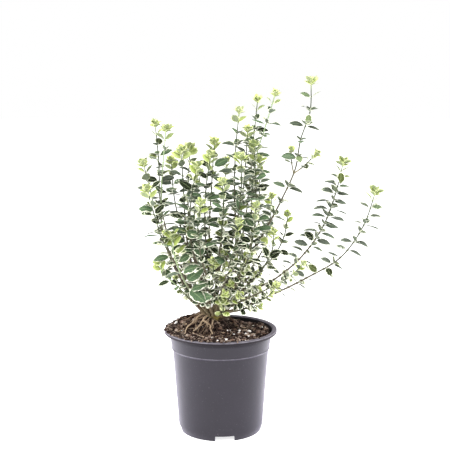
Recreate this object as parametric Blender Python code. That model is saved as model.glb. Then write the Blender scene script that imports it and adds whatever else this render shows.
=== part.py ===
"""Potted euonymus: a black nursery pot, its root ball and a shrub of slim leafy shoots.

Metres, +Z up. The origin is the middle of the pot's foot, on the surface that it stands on, and
-Y is the front. Every object is one closed solid; pieces that touch keep a small gap.
"""

import itertools
import math
from typing import NamedTuple

import bmesh
import bpy
import numpy as np
from mathutils import Matrix, Vector
from mathutils.bvhtree import BVHTree

MM = 0.001
GAP = 0.3  # mm, between pieces that touch

# The pot, mm. Its wall runs from the foot to a step, then up a band to the lip.
SEGMENTS = 36
LIP_RADIUS = 75.0
LIP_TOP = 138.0
LIP_BOTTOM = 133.8
BAND_TOP = (67.7, 131.0)
BAND_BOTTOM = (65.1, 113.0)
BODY_TOP = (63.9, 111.2)
BODY_BOTTOM = (56.7, 11.0)
FOOT_TURN = (55.6, 5.0)
FOOT_RADIUS = 53.6
WALL = 1.2
FLOOR_UNDERSIDE = 8.0
PAD_RADIUS = 14.0  # the middle of the floor comes down to the ground
NOTCH_WIDTH = 26.0
NOTCH_HEIGHT = 7.0
NOTCH_TURNS = (-84.0, 6.0, 96.0, 186.0)  # degrees from +X
HOLE_RADIUS = 3.5
HOLE_CIRCLE = 40.0
HOLES = 6

# The root ball, mm: a level, and heaps as (x, y, height, spread in x, spread in y).
SOIL_LEVEL = 130.5
SOIL_EDGE = 65.7
SOIL_TOP = 150.0
SOIL_HEAPS = ((-14, 14, 18.5, 42, 36), (-52, 12, 8.5, 26, 34), (-20, -58, 7.5, 55, 22))

# The crown, mm: the low woody knot that the shoots grow from.
CROWN = (-9.0, 14.0)
CROWN_RADIUS = 19.5
CROWN_RISE = 8.0
SEAT_RINGS = ((0, 1), (6.0, 6), (11.5, 11), (17.0, 17))  # radius and how many shoots sit there
SEAT_REACH = 0.36  # how far out a shoot would sit, as a part of its lean

# How stems and leaves are set, mm.
LINE_STEP = 1.0
FIRST_PAIR = 2.5
NODE_LENGTH = 2.2
STEM_FOOT = 1.5  # half of a stem's thickness
TWIG_FOOT = 0.9
STEM_TIP = 0.55
FOOT_LIFT = 2.2
MOST_STRAIGHT = 22.0  # longest straight stretch of a stem
PAIR_SPACING = 1.0
GROWN = 50.0  # distance from the tip at which wood and leaves are full size
WORN = (120.0, 230.0)  # between these distances from the tip leaves get smaller again
WORN_SIZE = 0.66
FIRST_DRAW = 40  # the seed of the first shoot's small differences
LEAF_SLIMNESS = 0.56
WIDEST = 0.48  # where along a leaf it is widest
LEAF_DROOP = 0.30
LEAF_RISE = (62.0, 28.0)  # degrees up from the stem's side, at the tip and on grown wood
TURN_STRAY, RISE_STRAY, LENGTH_STRAY = 12.0, 9.0, 0.12  # how far one leaf differs from the next
LEAF_BASE = 0.14  # where along a leaf its base is clear of the stem
BLADE = 0.5  # half of a blade's thickness
ROOM = 0.5  # kept free round each leaf and stem
SPRIG_LENGTH = 34.0  # a sprig is a short side twig
SPRIG_GAP = 26.0  # along the stem, from one sprig to the next
# A leaf is tried as each (turn, lift, roll, size): degrees, and shares of its own roll and size.
TRIES = tuple(
    (turn, lift, roll, size)
    for size in (1.0, 0.84, 0.68)
    for roll in (1.0, 0.2)
    for lift in (0, 16, -14, 30)
    for turn in (0, 16, -16, 32, -32)
)


class Shoot(NamedTuple):
    """A stem's route from the crown to its tip, and the rule that sets its leaf pairs (mm, degrees)."""

    name: str
    route: tuple
    leaf: tuple = (8, 21)  # length at the tip and on grown wood
    gap: tuple = (8, 17)  # between pairs, at the tip and on grown wood
    bare: float = 26.0  # the foot of the stem, without leaves
    turn: float = 0.0
    crossed: bool = True  # each pair is square to the next; on arching shoots all lie in one plane
    twigs: tuple = ()
    sprigs: int = 0
    lift: float = 0.0  # raises its grown leaves, or lets them hang
    level: float = 0.35  # how far they swing towards level
    light: tuple = (0, 0, 0.35)  # the way that they turn their faces, and how far
    roll: float = 42.0  # how far a leaf may roll about its midrib
    lost: tuple = ()  # leaves that it no longer has: number of the pair from the tip, and side


class Section(NamedTuple):
    """A four-cornered cross-section: its corners are middle + u + v, middle + u - v and so on."""

    middle: np.ndarray
    u: np.ndarray
    v: np.ndarray


class Leaf(NamedTuple):
    root: np.ndarray
    outward: np.ndarray
    up: np.ndarray
    across: np.ndarray
    length: float
    age: float  # 0 at the tip, 1 on grown wood

    def at(self, along):
        """A point of the midrib, which leaves the stem straight and then droops."""
        droop = LEAF_DROOP * along * (0.45 - along)
        return self.root + self.length * (along * self.outward + droop * self.up)


SPRIG = Shoot("", (), (8, 15), (7, 11), 7)
TALL_TWIGS = (
    Shoot("", ((92, 2, 341), (107, -4, 354), (124, -8, 372)), (9, 13), (7, 12), 8),
    Shoot("", ((93, 2, 345), (93, 7, 358), (92, 8, 376)), (8, 11), (7, 12), 10, 40),
)

SHOOTS = (
    Shoot("shoot_tall_right", ((49, 6, 251), (79, 0, 309), (98, 2, 353), (104, 5, 388), (116, 6, 425),
          (117, 6, 463)), (12, 19), (17, 21), 74, 0, twigs=TALL_TWIGS, lift=-16, light=(0, -0.6, 0.4),
          roll=24),
    Shoot("shoot_arching_right", ((34, -4, 186), (70, -6, 205), (102, -12, 233), (131, -16, 274),
          (149, -16, 323), (158, -12, 360)), (12, 19), (9, 11), 66, 90, crossed=False, lift=-18,
          level=0.6, light=(0, -0.15, 0.9), roll=28),
    Shoot("shoot_low_right", ((55, -22, 183), (110, -34, 213), (154, -40, 242), (183, -38, 284),
          (197, -34, 325)), (12, 18), (9, 13), 84, 90, crossed=False, lift=-18, level=0.6,
          light=(0, -0.15, 0.9), roll=28),
    Shoot("shoot_high_back", ((27, 38, 203), (42, 46, 252), (42, 48, 297), (47, 44, 358), (63, 40, 414),
          (73, 38, 448)), (10, 20), (12, 17), 60, 10, level=0.6, roll=24),
    Shoot("shoot_high_far", ((21, 50, 218), (35, 62, 281), (40, 66, 329), (46, 60, 398), (50, 56, 439)),
          (10, 20), (12, 17), 60, -20, level=0.6, roll=24),
    Shoot("shoot_high_middle", ((14, -14, 222), (20, -22, 263), (18, -26, 314), (19, -24, 374),
          (24, -20, 428)), (10, 21), (13, 17), 46, 30, sprigs=2),
    Shoot("shoot_high_left", ((-39, 2, 186), (-64, -6, 229), (-76, -10, 273), (-76, -10, 331),
          (-70, -6, 404)), (12, 19), (12, 18), 40, 0, sprigs=1),
    Shoot("shoot_far_left_top", ((-41, 22, 193), (-65, 30, 241), (-80, 30, 299), (-82, 26, 360),
          (-86, 24, 408)), (12, 19), (12, 17), 46, -15, sprigs=1),
    Shoot("shoot_left_outer", ((-44, -20, 193), (-65, -28, 244), (-82, -32, 296), (-91, -30, 332),
          (-98, -28, 361)), (12, 20), (9, 15), 40, 10, sprigs=1),
    Shoot("shoot_left_front", ((-46, -33, 214), (-70, -50, 258), (-83, -54, 298), (-92, -52, 331)),
          (12, 21), (9, 15), 34, 20, sprigs=1),
    Shoot("shoot_left_tuft_front", ((-31, -14, 204), (-43, -22, 258), (-47, -22, 313), (-50, -18, 376)),
          (13, 21), (8, 15), 40, 0, sprigs=2),
    Shoot("shoot_left_tuft_right", ((-25, 12, 195), (-39, 16, 243), (-43, 16, 301), (-40, 14, 378)),
          (13, 21), (8, 15), 44, 45, sprigs=1),
    Shoot("shoot_left_tuft_back", ((-33, 30, 197), (-50, 42, 252), (-63, 44, 311), (-66, 42, 357)),
          (12, 22), (8, 15), 40, 20, sprigs=1),
    Shoot("shoot_left_inner_front", ((-26, -34, 216), (-39, -50, 276), (-36, -52, 323),
          (-29, -50, 360)), (12, 23), (8, 15), 36, -30, sprigs=2),
    Shoot("shoot_middle_upright", ((-13, 4, 216), (-15, 6, 267), (-12, 6, 323), (-8, 4, 386)),
          (12, 23), (8, 16), 44, 15, sprigs=2),
    Shoot("shoot_middle_front", ((-16, -22, 227), (-20, -36, 283), (-18, -38, 334), (-12, -34, 372)),
          (12, 22), (8, 15), 38, -10, sprigs=2),
    Shoot("shoot_middle_back", ((13, 22, 210), (24, 30, 259), (31, 30, 326), (36, 26, 400)),
          (11, 21), (8, 15), 44, 0),
    Shoot("shoot_right_of_middle", ((31, 0, 228), (45, -8, 277), (46, -10, 325), (43, -12, 382)),
          (12, 21), (8, 14), 40, 28, sprigs=2),
    Shoot("shoot_middle_near", ((7, -34, 234), (20, -46, 284), (26, -48, 329), (26, -44, 370)),
          (12, 21), (8, 14), 34, 0, sprigs=3),
    Shoot("shoot_right_back", ((34, 30, 211), (49, 38, 251), (52, 40, 298), (52, 36, 359)),
          (11, 20), (8, 14), 40, -25, sprigs=1),
    Shoot("shoot_broad_leaves", ((-36, -34, 191), (-51, -45, 222), (-60, -48, 252), (-62, -48, 270)),
          (14, 28), (10, 14), 38, 76, crossed=False, lift=-8, light=(0, -2.2, 0.3), roll=16,
          lost=((3, 0), (4, 0), (5, 0), (6, 0), (7, 0))),
    Shoot("shoot_left_low", ((-36, -18, 177), (-55, -28, 200), (-74, -36, 222), (-80, -36, 235)),
          (11, 21), (8, 14), 28, 10, lost=((5, 3), (6, 0), (6, 2))),
    Shoot("shoot_right_low_a", ((31, -24, 198), (56, -36, 229), (67, -38, 256), (68, -36, 274)),
          (9, 20), (8, 11), 28, 0, sprigs=1),
    Shoot("shoot_right_low_b", ((38, -42, 190), (69, -56, 209), (90, -60, 223), (104, -60, 237)),
          (8, 17), (8, 11), 30, 20, sprigs=1),
    Shoot("shoot_right_low_c", ((32, -30, 172), (49, -46, 186), (63, -56, 197), (70, -60, 209)),
          (9, 16), (7, 8), 30, 0, lost=((9, 1),)),
    Shoot("shoot_right_low_d", ((22, -44, 213), (36, -60, 248), (42, -64, 283), (44, -62, 312)),
          (9, 16), (8, 11), 30, -20, sprigs=2),
    Shoot("shoot_right_low_back", ((37, 28, 200), (69, 30, 226), (85, 28, 256), (90, 24, 288)),
          (9, 16), (9, 12), 30, 10, sprigs=1),
    Shoot("shoot_back_middle", ((-1, 46, 210), (2, 66, 267), (5, 72, 314), (8, 72, 356)),
          (9, 21), (8, 16), 40, 0),
    Shoot("shoot_back_left", ((-24, 44, 205), (-37, 66, 253), (-34, 72, 301), (-27, 72, 339)),
          (9, 21), (8, 16), 38, 24),
    Shoot("shoot_back_right", ((27, 48, 190), (58, 72, 230), (69, 80, 271), (71, 80, 305)),
          (9, 19), (8, 15), 38, -30),
    Shoot("shoot_front_middle", ((-4, -34, 226), (1, -60, 274), (4, -66, 313), (2, -64, 341)),
          (10, 20), (9, 14), 34, 0, sprigs=2),
    Shoot("shoot_front_left", ((-17, -44, 213), (-26, -66, 256), (-28, -72, 289), (-24, -72, 316)),
          (10, 20), (9, 14), 32, 10, sprigs=2),
    Shoot("shoot_front_right", ((4, -46, 208), (12, -66, 241), (19, -72, 267), (22, -72, 292)),
          (9, 16), (8, 12), 30, -15, sprigs=1),
    Shoot("shoot_low_tuft", ((-16, -29, 183), (-11, -50, 212), (-8, -60, 240)),
          (10, 13), (7, 10), 26, 0),
    Shoot("shoot_crown_tuft", ((3, -28, 167), (3, -35, 181)), (10, 12), (7, 8), 14, 30),
)

# Roots that run over the soil: half thickness, and the points that they pass (x, y), mm.
ROOTS = (
    ("root_main", 1.3, ((-22, -7), (-15, -10), (-12, -18), (-11, -31), (-12, -40))),
    ("root_left", 1.2, ((-31, 0), (-36, -6), (-42, -12), (-46, -20), (-47, -29))),
    ("root_loop", 0.9, ((-30, -15), (-37, -21), (-33, -31), (-27, -38), (-20, -54), (-15, -61))),
    ("root_far_left", 0.8, ((-33, 8), (-45, 2), (-52, -11), (-55, -22))),
    ("root_right", 0.9, ((13, 8), (22, 2), (30, -14), (31, -26))),
)

# White grains and bark chips on the soil: (x, y) and size, mm.
PERLITE = ((7, -59, 1.9), (25, -11, 2.0), (37, -27, 2.1), (40, -19, 1.8), (38, -8, 1.9), (17, -26, 1.7),
           (-59, 4, 1.9), (-49, -36, 1.7))
BARK_CHIPS = ((-1, -44, 4.2, 20), (50, -8, 3.6, 70), (-38, -44, 4.0, 130), (20, 30, 4.4, 45))


# Looks: colour, roughness, metallic.
MATERIALS = {
    "black_plastic": ((0.042, 0.042, 0.048), 0.42, 0.0),
    "soil": ((0.060, 0.042, 0.032), 0.95, 0.0),
    "bark": ((0.120, 0.085, 0.052), 0.85, 0.0),
    "root": ((0.380, 0.290, 0.190), 0.80, 0.0),
    "perlite": ((0.830, 0.820, 0.790), 0.80, 0.0),
    "leaf": ((0.180, 0.270, 0.110), 0.50, 0.0),
}


# The ground that the plant grows in


def soil_height(x, y):
    """Height of the soil's top at (x, y): a level, round heaps and small lumps."""
    height = SOIL_LEVEL + 0.5 * np.sin(x / 4.3 + 1) * np.sin(y / 3.7)
    for middle_x, middle_y, rise, spread_x, spread_y in SOIL_HEAPS:
        height = height + rise * np.exp(
            -(((x - middle_x) / spread_x) ** 2) - ((y - middle_y) / spread_y) ** 2
        )
    return np.minimum(height, SOIL_TOP)


def crown_height(radius):
    """Height of the crown's top at a distance from its middle: a flat dome with a blunt edge."""
    return SOIL_TOP + 1.6 + CROWN_RISE * math.sqrt(max(0.0, 1 - (radius / CROWN_RADIUS) ** 2))


# How the shoots grow. All of this is in millimetres.


def unit(vector):
    return vector / np.linalg.norm(vector)


def turned(vector, axis, degrees):
    """The vector, which is square to the axis, turned round it."""
    angle = math.radians(degrees)
    return vector * math.cos(angle) + np.cross(axis, vector) * math.sin(angle)


def smooth_line(points):
    """A curve through the points, cubic between each two, as points LINE_STEP apart."""
    points = np.array(points, float)
    chord = np.concatenate([[0], np.cumsum(np.linalg.norm(np.diff(points, axis=0), axis=1))])
    slope = np.gradient(points, chord, axis=0)
    at = np.linspace(0, chord[-1], int(chord[-1]))
    piece = np.clip(np.searchsorted(chord, at, side="right") - 1, 0, len(points) - 2)
    span = (chord[piece + 1] - chord[piece])[:, None]
    t = (at[:, None] - chord[piece][:, None]) / span
    curve = (
        (2 * t**3 - 3 * t**2 + 1) * points[piece]
        + (t**3 - 2 * t**2 + t) * span * slope[piece]
        + (3 * t**2 - 2 * t**3) * points[piece + 1]
        + (t**3 - t**2) * span * slope[piece + 1]
    )
    length = np.concatenate([[0], np.cumsum(np.linalg.norm(np.diff(curve, axis=0), axis=1))])
    even = np.arange(0, length[-1], LINE_STEP)
    return np.stack([np.interp(even, length, curve[:, axis]) for axis in range(3)], axis=1)


def crown_seats():
    """Places for the shoots' feet: one in the crown's middle, the rest on rings round it."""
    seats = []
    for radius, count in SEAT_RINGS:
        for step in range(count):
            angle = 2 * math.pi * (step + 0.5) / count
            x = CROWN[0] + radius * math.cos(angle)
            y = CROWN[1] + radius * math.sin(angle)
            seats.append((x, y, crown_height(radius) + FOOT_LIFT))
    return seats


def stem_lines():
    """Each shoot's middle line. Shoots swap seats until each sits near the side that it leans to.

    The lower a shoot sets out, the more it matters that it sits on its own side.
    """
    seats = np.array(crown_seats())[: len(SHOOTS)]
    lean = np.array([shoot.route[0][:2] for shoot in SHOOTS], float) - CROWN
    wanted = np.array(CROWN) + lean * SEAT_REACH
    rise = np.array([shoot.route[0][2] for shoot in SHOOTS], float) - SOIL_TOP
    cost = ((wanted[:, None] - seats[None, :, :2]) ** 2).sum(axis=2) / rise[:, None] ** 2
    taken = list(range(len(SHOOTS)))
    better = True
    while better:
        better = False
        for a, b in itertools.combinations(range(len(SHOOTS)), 2):
            swapped = cost[a, taken[b]] + cost[b, taken[a]]
            if swapped < cost[a, taken[a]] + cost[b, taken[b]] - 1e-9:
                taken[a], taken[b] = taken[b], taken[a]
                better = True
    return [smooth_line([seats[seat], *shoot.route]) for seat, shoot in zip(taken, SHOOTS)]


class Stem:
    """A stem's middle line with its cross-section, its leaf pairs and its side twigs."""

    def __init__(self, line, rule, foot_half, reference):
        self.line = line
        self.rule = rule
        self.foot_half = foot_half
        self.reference = np.array(reference, float)
        self.length = LINE_STEP * (len(line) - 1)
        self.leaves = {}  # by pair number and side
        self.twigs = {}

    def section(self, along, turn=0.0):
        """The cross-section at a distance from the foot, with its corners turned round the stem."""
        where = min(along / LINE_STEP, len(self.line) - 1.001)
        before = int(where)
        middle = self.line[before] + (where - before) * (self.line[before + 1] - self.line[before])
        ahead = unit(self.line[min(before + 3, len(self.line) - 1)] - self.line[max(before - 2, 0)])
        v = unit(self.reference - ahead * np.dot(self.reference, ahead))
        v = turned(v, ahead, turn)
        half = self.foot_half + (STEM_TIP - self.foot_half) * along / self.length
        return ahead, Section(middle, np.cross(v, ahead) * half, v * half)

    def pair_places(self):
        """Distances of the leaf pairs from the foot. They stand closer together towards the tip."""
        places = []
        from_tip = FIRST_PAIR
        while from_tip < self.length - self.rule.bare:
            places.append(self.length - from_tip)
            from_tip += self.grown(self.rule.gap, from_tip) * PAIR_SPACING
        return places

    def away(self, along, side, turn=0.0):
        """The direction that one of the stem's four sides looks in."""
        _, (_, u, v) = self.section(along, turn)
        return unit((v, u, -v, -u)[side])

    def sides(self, number):
        """The two sides of the stem that a leaf pair grows from."""
        first = number % 2 if self.rule.crossed else 0
        return first, first + 2

    @staticmethod
    def grown(sizes, from_tip):
        """A size between that at the tip and that on grown wood."""
        return sizes[0] + (sizes[1] - sizes[0]) * min(from_tip / GROWN, 1)


def leaf_from(stem, along, side, turn, lift, roll_share, size, chance):
    """The leaf that leaves a stem on one of its four sides, reaching out and up along the stem."""
    ahead, section = stem.section(along)
    away = stem.away(along, side, stem.rule.turn + TURN_STRAY * chance[0])
    root = section.middle + away * np.linalg.norm(section.u)
    from_tip = stem.length - along
    age = min(from_tip / GROWN, 1.0)
    rise = stem.grown(LEAF_RISE, from_tip) + stem.rule.lift * age + lift + RISE_STRAY * chance[1]
    rise = math.radians(rise)
    away_turned = turned(away, ahead, turn)
    outward = away_turned * math.cos(rise) + ahead * math.sin(rise)
    outward = unit(outward - np.array((0, 0, stem.rule.level * age * outward[2])))
    up = ahead * math.cos(rise) - away_turned * math.sin(rise) + np.array(stem.rule.light) * age
    up = unit(up - outward * np.dot(up, outward))
    up = turned(up, outward, stem.rule.roll * roll_share * chance[2])
    worn = np.interp(from_tip, WORN, (1.0, WORN_SIZE))
    length = stem.grown(stem.rule.leaf, from_tip) * worn * size * (1 + LENGTH_STRAY * chance[3])
    return Leaf(root, outward, up, np.cross(up, outward), length, age)


def leaf_shell(leaf, room):
    """Corners and faces of a thin kite with a blunt base round a leaf, with some room on every side."""
    half = leaf.length * LEAF_SLIMNESS / 2
    corners = []
    for along, wide, thick in ((LEAF_BASE, half / 4 + STEM_TIP, 2 * BLADE), (WIDEST, half, BLADE)):
        middle, u, v = leaf.at(along), leaf.across * (wide + room), leaf.up * (thick + room)
        corners += [middle + u + v, middle - u + v, middle - u - v, middle + u - v]
    corners.append(leaf.at(1.0) + leaf.outward * room)
    faces = [(0, 1, 2, 3), (0, 4, 5, 1), (1, 5, 6, 2), (2, 6, 7, 3), (3, 7, 4, 0),
             (4, 8, 5), (5, 8, 6), (6, 8, 7), (7, 8, 4)]
    return corners, faces


def stem_shell(stem, room):
    """Corners and faces of a square tube round a stem."""
    corners, faces = [], []
    for along in np.linspace(0, stem.length, max(3, int(stem.length / 8))):
        _, section = stem.section(along)
        u = section.u * (1 + room / np.linalg.norm(section.u))
        v = section.v * (1 + room / np.linalg.norm(section.v))
        start = len(corners)
        corners += [section.middle + u + v, section.middle - u + v,
                    section.middle - u - v, section.middle + u - v]
        if start:
            faces += [(start - 4 + i, start - 4 + (i + 1) % 4, start + (i + 1) % 4, start + i)
                      for i in range(4)]
    return corners, faces


def ground_shell():
    """A surface just over the soil and the pot's lip, which no leaf may cross."""
    radii = [0, 12, 24, 36, 48, 58, 66, LIP_RADIUS + 3, LIP_RADIUS + 3]
    corners = []
    for ring, radius in enumerate(radii):
        for step in range(SEGMENTS):
            angle = 2 * math.pi * step / SEGMENTS
            x, y = radius * math.cos(angle), radius * math.sin(angle)
            over = max(float(soil_height(x, y)) + 4.5, LIP_TOP + 2.0 if radius > 60 else 0)
            corners.append(np.array((x, y, over if ring < len(radii) - 1 else LIP_BOTTOM - 30)))
    faces = [
        (r * SEGMENTS + s, r * SEGMENTS + (s + 1) % SEGMENTS,
         (r + 1) * SEGMENTS + (s + 1) % SEGMENTS, (r + 1) * SEGMENTS + s)
        for r in range(len(radii) - 1) for s in range(SEGMENTS)
    ]
    return corners, faces


def tree(shells):
    """One search tree over many shells."""
    corners, faces = [], []
    for more_corners, more_faces in shells:
        start = len(corners)
        corners += more_corners
        faces += [tuple(start + i for i in face) for face in more_faces]
    return BVHTree.FromPolygons(corners, faces, epsilon=0.0)


def set_leaves(stem, chances, own_stems, others):
    """Sets a stem's leaf pairs. One that would touch something turns, lifts, shrinks or is left out."""
    placed = []
    for number, along in enumerate(stem.pair_places()):
        for side in stem.sides(number):
            chance = chances.uniform(-1, 1, 4)
            if (number, side) in stem.twigs or (number, side) in stem.rule.lost:
                continue
            for trial in TRIES:
                leaf = leaf_from(stem, along, side, *trial, chance)
                shell = tree([leaf_shell(leaf, ROOM)])
                if not any(shell.overlap(other) for other in [*others, *own_stems, *placed]):
                    stem.leaves[number, side] = leaf
                    placed.append(shell)
                    break
    return placed


def twig_of(stem, rule):
    """A twig that takes the place of one leaf, at the pair nearest to where its route starts."""
    start = LINE_STEP * np.linalg.norm(stem.line - np.array(rule.route[0], float), axis=1).argmin()
    places = stem.pair_places()
    number = min(range(len(places)), key=lambda n: abs(places[n] - start))
    ahead, section = stem.section(places[number])
    leans = np.array(rule.route[1], float) - section.middle
    side = max(stem.sides(number), key=lambda s: leans @ stem.away(places[number], s, stem.rule.turn))
    twig = Stem(smooth_line([section.middle, *rule.route[1:]]), rule, TWIG_FOOT, ahead)
    stem.twigs[number, side] = twig
    return twig


def sprig_from(stem, number, side, turn):
    """A short twig that leaves the stem on one side and bends up."""
    along = stem.pair_places()[number]
    ahead, section = stem.section(along)
    away = turned(stem.away(along, side, stem.rule.turn), ahead, turn)
    start = section.middle
    knee = start + SPRIG_LENGTH * 0.5 * unit(away + 0.4 * ahead)
    end = knee + SPRIG_LENGTH * 0.5 * unit(away + ahead + np.array((0, 0, 0.6)))
    return Stem(smooth_line([start, knee, end]), SPRIG, TWIG_FOOT, ahead)


def set_sprigs(stem, others):
    """Sets a stem's sprigs on its lower part. One that would touch another stem is left out."""
    sprigs = []
    places = stem.pair_places()
    for step in range(stem.rule.sprigs):
        height = stem.rule.bare + SPRIG_GAP * (step + 0.3)
        number = min(range(len(places)), key=lambda n: abs(places[n] - height))
        for side, turn in itertools.product(stem.sides(number), (0, 25, -25, 50, -50)):
            sprig = sprig_from(stem, number, side, turn)
            shell = tree([stem_shell(sprig, ROOM)])
            if (number, side) not in stem.twigs and not any(shell.overlap(other) for other in others):
                stem.twigs[number, side] = sprig
                others.append(shell)
                sprigs.append(sprig)
                break
    return sprigs


def grown_shoots():
    """Every shoot with its stems, the main stem first. The longest leaves are set first."""
    shoots = []
    for shoot, line in zip(SHOOTS, stem_lines()):
        main_stem = Stem(line, shoot, STEM_FOOT, (0, 1, 0))
        stems = [main_stem]
        for rule in shoot.twigs:
            stems.append(twig_of(main_stem, rule))
        shoots.append((shoot, stems))
    stem_trees = [tree([stem_shell(stem, ROOM) for stem in stems]) for _, stems in shoots]
    sprig_trees = [tree([ground_shell()])]
    for number, (_, stems) in enumerate(shoots):
        foreign = [other for i, other in enumerate(stem_trees) if i != number]
        stems += set_sprigs(stems[0], [*foreign, *sprig_trees])
        sprig_trees += [tree([stem_shell(stem, ROOM)]) for stem in stems[1:]]
    stem_trees = [tree([stem_shell(stem, ROOM) for stem in stems]) for _, stems in shoots]
    others = [tree([ground_shell()])]
    for number, (shoot, stems) in sorted(enumerate(shoots), key=lambda item: -item[1][0].leaf[1]):
        chances = np.random.default_rng(FIRST_DRAW + number)
        foreign = [other for i, other in enumerate(stem_trees) if i != number]
        placed = []
        for stem in stems:
            own = [tree([stem_shell(other, ROOM)]) for other in stems if other is not stem]
            placed += set_leaves(stem, chances, own, [*others, *foreign, *placed])
        others.append(tree([leaf_shell(leaf, ROOM) for stem in stems for leaf in stem.leaves.values()]))
    return shoots


# Shapes in Blender. Meshes are drawn in millimetres and scaled as they become objects.


def material(name, colour, roughness, metallic):
    made = bpy.data.materials.new(name)
    made.use_nodes = True
    shader = made.node_tree.nodes["Principled BSDF"]
    shader.inputs["Base Color"].default_value = (*colour, 1.0)
    shader.inputs["Roughness"].default_value = roughness
    shader.inputs["Metallic"].default_value = metallic
    return made


def add_object(name, mesh, paint):
    """A new object from a mesh whose points are in millimetres."""
    mesh.transform(Matrix.Scale(MM, 4))
    mesh.materials.append(paint)
    obj = bpy.data.objects.new(name, mesh)
    bpy.context.scene.collection.objects.link(obj)
    return obj


def object_of(name, bm, paint):
    mesh = bpy.data.meshes.new(name)
    bm.to_mesh(mesh)
    bm.free()
    return add_object(name, mesh, paint)


def smooth_round(obj):
    obj.data.shade_smooth()
    obj.data.set_sharp_from_angle(angle=math.radians(35))


def inner_wall():
    """The pot's inside as (radius, height), from the middle of the floor up to the lip."""
    floor = FLOOR_UNDERSIDE + WALL
    return [
        (0.0, WALL),
        (PAD_RADIUS - 0.8, WALL),
        (PAD_RADIUS + 5.2, floor),
        (FOOT_TURN[0] - WALL, floor),
        (BODY_BOTTOM[0] - WALL, BODY_BOTTOM[1] + 0.4),
        (BODY_TOP[0] - WALL, BODY_TOP[1] + 0.4),
        (BAND_BOTTOM[0] - WALL, BAND_BOTTOM[1] + 0.6),
        (BAND_TOP[0] - WALL, BAND_TOP[1]),
    ]


def outer_wall():
    """The pot's lip, outside and underside as (radius, height), from the inside edge of the lip."""
    return [
        (BAND_TOP[0] - 0.4, LIP_BOTTOM + 0.4),
        (LIP_RADIUS - 6.0, LIP_TOP - 0.8),
        (LIP_RADIUS - 4.6, LIP_TOP),
        (LIP_RADIUS - 1.2, LIP_TOP),
        (LIP_RADIUS, LIP_TOP - 1.0),
        (LIP_RADIUS, LIP_BOTTOM),
        (LIP_RADIUS - WALL, LIP_BOTTOM),
        (LIP_RADIUS - WALL, LIP_TOP - 1.6),
        (BAND_TOP[0] + 2.2, LIP_TOP - 1.6),
        (BAND_TOP[0] + 0.6, LIP_BOTTOM),
        BAND_TOP,
        BAND_BOTTOM,
        BODY_TOP,
        BODY_BOTTOM,
        FOOT_TURN,
        (FOOT_RADIUS + 0.8, 1.6),
        (FOOT_RADIUS, 0.0),
        (FOOT_RADIUS - 1.3, 0.0),
        (FOOT_RADIUS - 0.6, FLOOR_UNDERSIDE),
        (PAD_RADIUS + 6.0, FLOOR_UNDERSIDE),
        (PAD_RADIUS, 0.0),
        (0.0, 0.0),
    ]


def pot(paint):
    """The wall's outline turned round the axis, with notches in the foot and holes in the floor."""
    outline = [Vector((radius, 0, height)) for radius, height in inner_wall() + outer_wall()]
    mesh = bpy.data.meshes.new("pot")
    mesh.from_pydata(outline, [(i, i + 1) for i in range(len(outline) - 1)], [])
    obj = add_object("pot", mesh, paint)
    turn = obj.modifiers.new("turned wall", "SCREW")
    turn.steps = turn.render_steps = SEGMENTS
    turn.use_merge_vertices = True
    turn.merge_threshold = 0.0001
    turn.use_normal_calculate = True
    cutters = bmesh.new()
    for degrees in NOTCH_TURNS:
        place = Matrix.Rotation(math.radians(degrees), 4, "Z") @ Matrix.Translation((FOOT_RADIUS, 0, 0))
        size = Matrix.Diagonal((14.0, NOTCH_WIDTH, 2 * NOTCH_HEIGHT, 1.0))
        bmesh.ops.create_cube(cutters, size=1.0, matrix=place @ size)
    for hole in range(HOLES):
        place = Matrix.Rotation(2 * math.pi * (hole + 0.5) / HOLES, 4, "Z")
        place = place @ Matrix.Translation((HOLE_CIRCLE, 0, FLOOR_UNDERSIDE))
        bmesh.ops.create_cone(cutters, cap_ends=True, segments=8, radius1=HOLE_RADIUS,
                              radius2=HOLE_RADIUS, depth=8.0, matrix=place)
    cutter = object_of("drainage_cutter", cutters, paint)
    cutter.hide_render = True
    cutter.display_type = "WIRE"
    drain = obj.modifiers.new("drainage", "BOOLEAN")
    drain.operation = "DIFFERENCE"
    drain.object = cutter


def ring(radius, height):
    """Points at the pot's own angles; height is a number or a function of x and y."""
    angles = 2 * math.pi * np.arange(SEGMENTS) / SEGMENTS
    x, y = radius * np.cos(angles), radius * np.sin(angles)
    z = height(x, y) if callable(height) else np.full(SEGMENTS, height)
    return np.stack([x, y, z], axis=1)


def lathed(name, rings, top, bottom, paint):
    """A closed solid from rings that run from the top's edge down to the bottom's, with two poles."""
    corners = np.concatenate([*rings, [top, bottom]])
    faces = []
    for row in range(len(rings) - 1):
        for step in range(SEGMENTS):
            beside = (step + 1) % SEGMENTS
            first, second = row * SEGMENTS, (row + 1) * SEGMENTS
            faces.append((first + step, second + step, second + beside, first + beside))
    last = (len(rings) - 1) * SEGMENTS
    for step in range(SEGMENTS):
        beside = (step + 1) % SEGMENTS
        faces.append((len(corners) - 2, step, beside))
        faces.append((len(corners) - 1, last + beside, last + step))
    mesh = bpy.data.meshes.new(name)
    mesh.from_pydata(corners.tolist(), [], faces)
    return add_object(name, mesh, paint)


def root_ball(paint):
    """The soil: heaped on top, and below it the shape of the pot's inside. Returns its search tree."""
    rings = [ring(radius, soil_height) for radius in (10, 20, 30, 40, 49, 58, SOIL_EDGE)]
    for radius, height in reversed(inner_wall()[1:-1]):
        rings.append(ring(radius - GAP, height + GAP))
    top = (0.0, 0.0, float(soil_height(0.0, 0.0)))
    obj = lathed("soil", rings, top, (0.0, 0.0, WALL + GAP), paint)
    smooth_round(obj)
    corners = [vertex.co / MM for vertex in obj.data.vertices]
    return BVHTree.FromPolygons(corners, [polygon.vertices[:] for polygon in obj.data.polygons])


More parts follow.
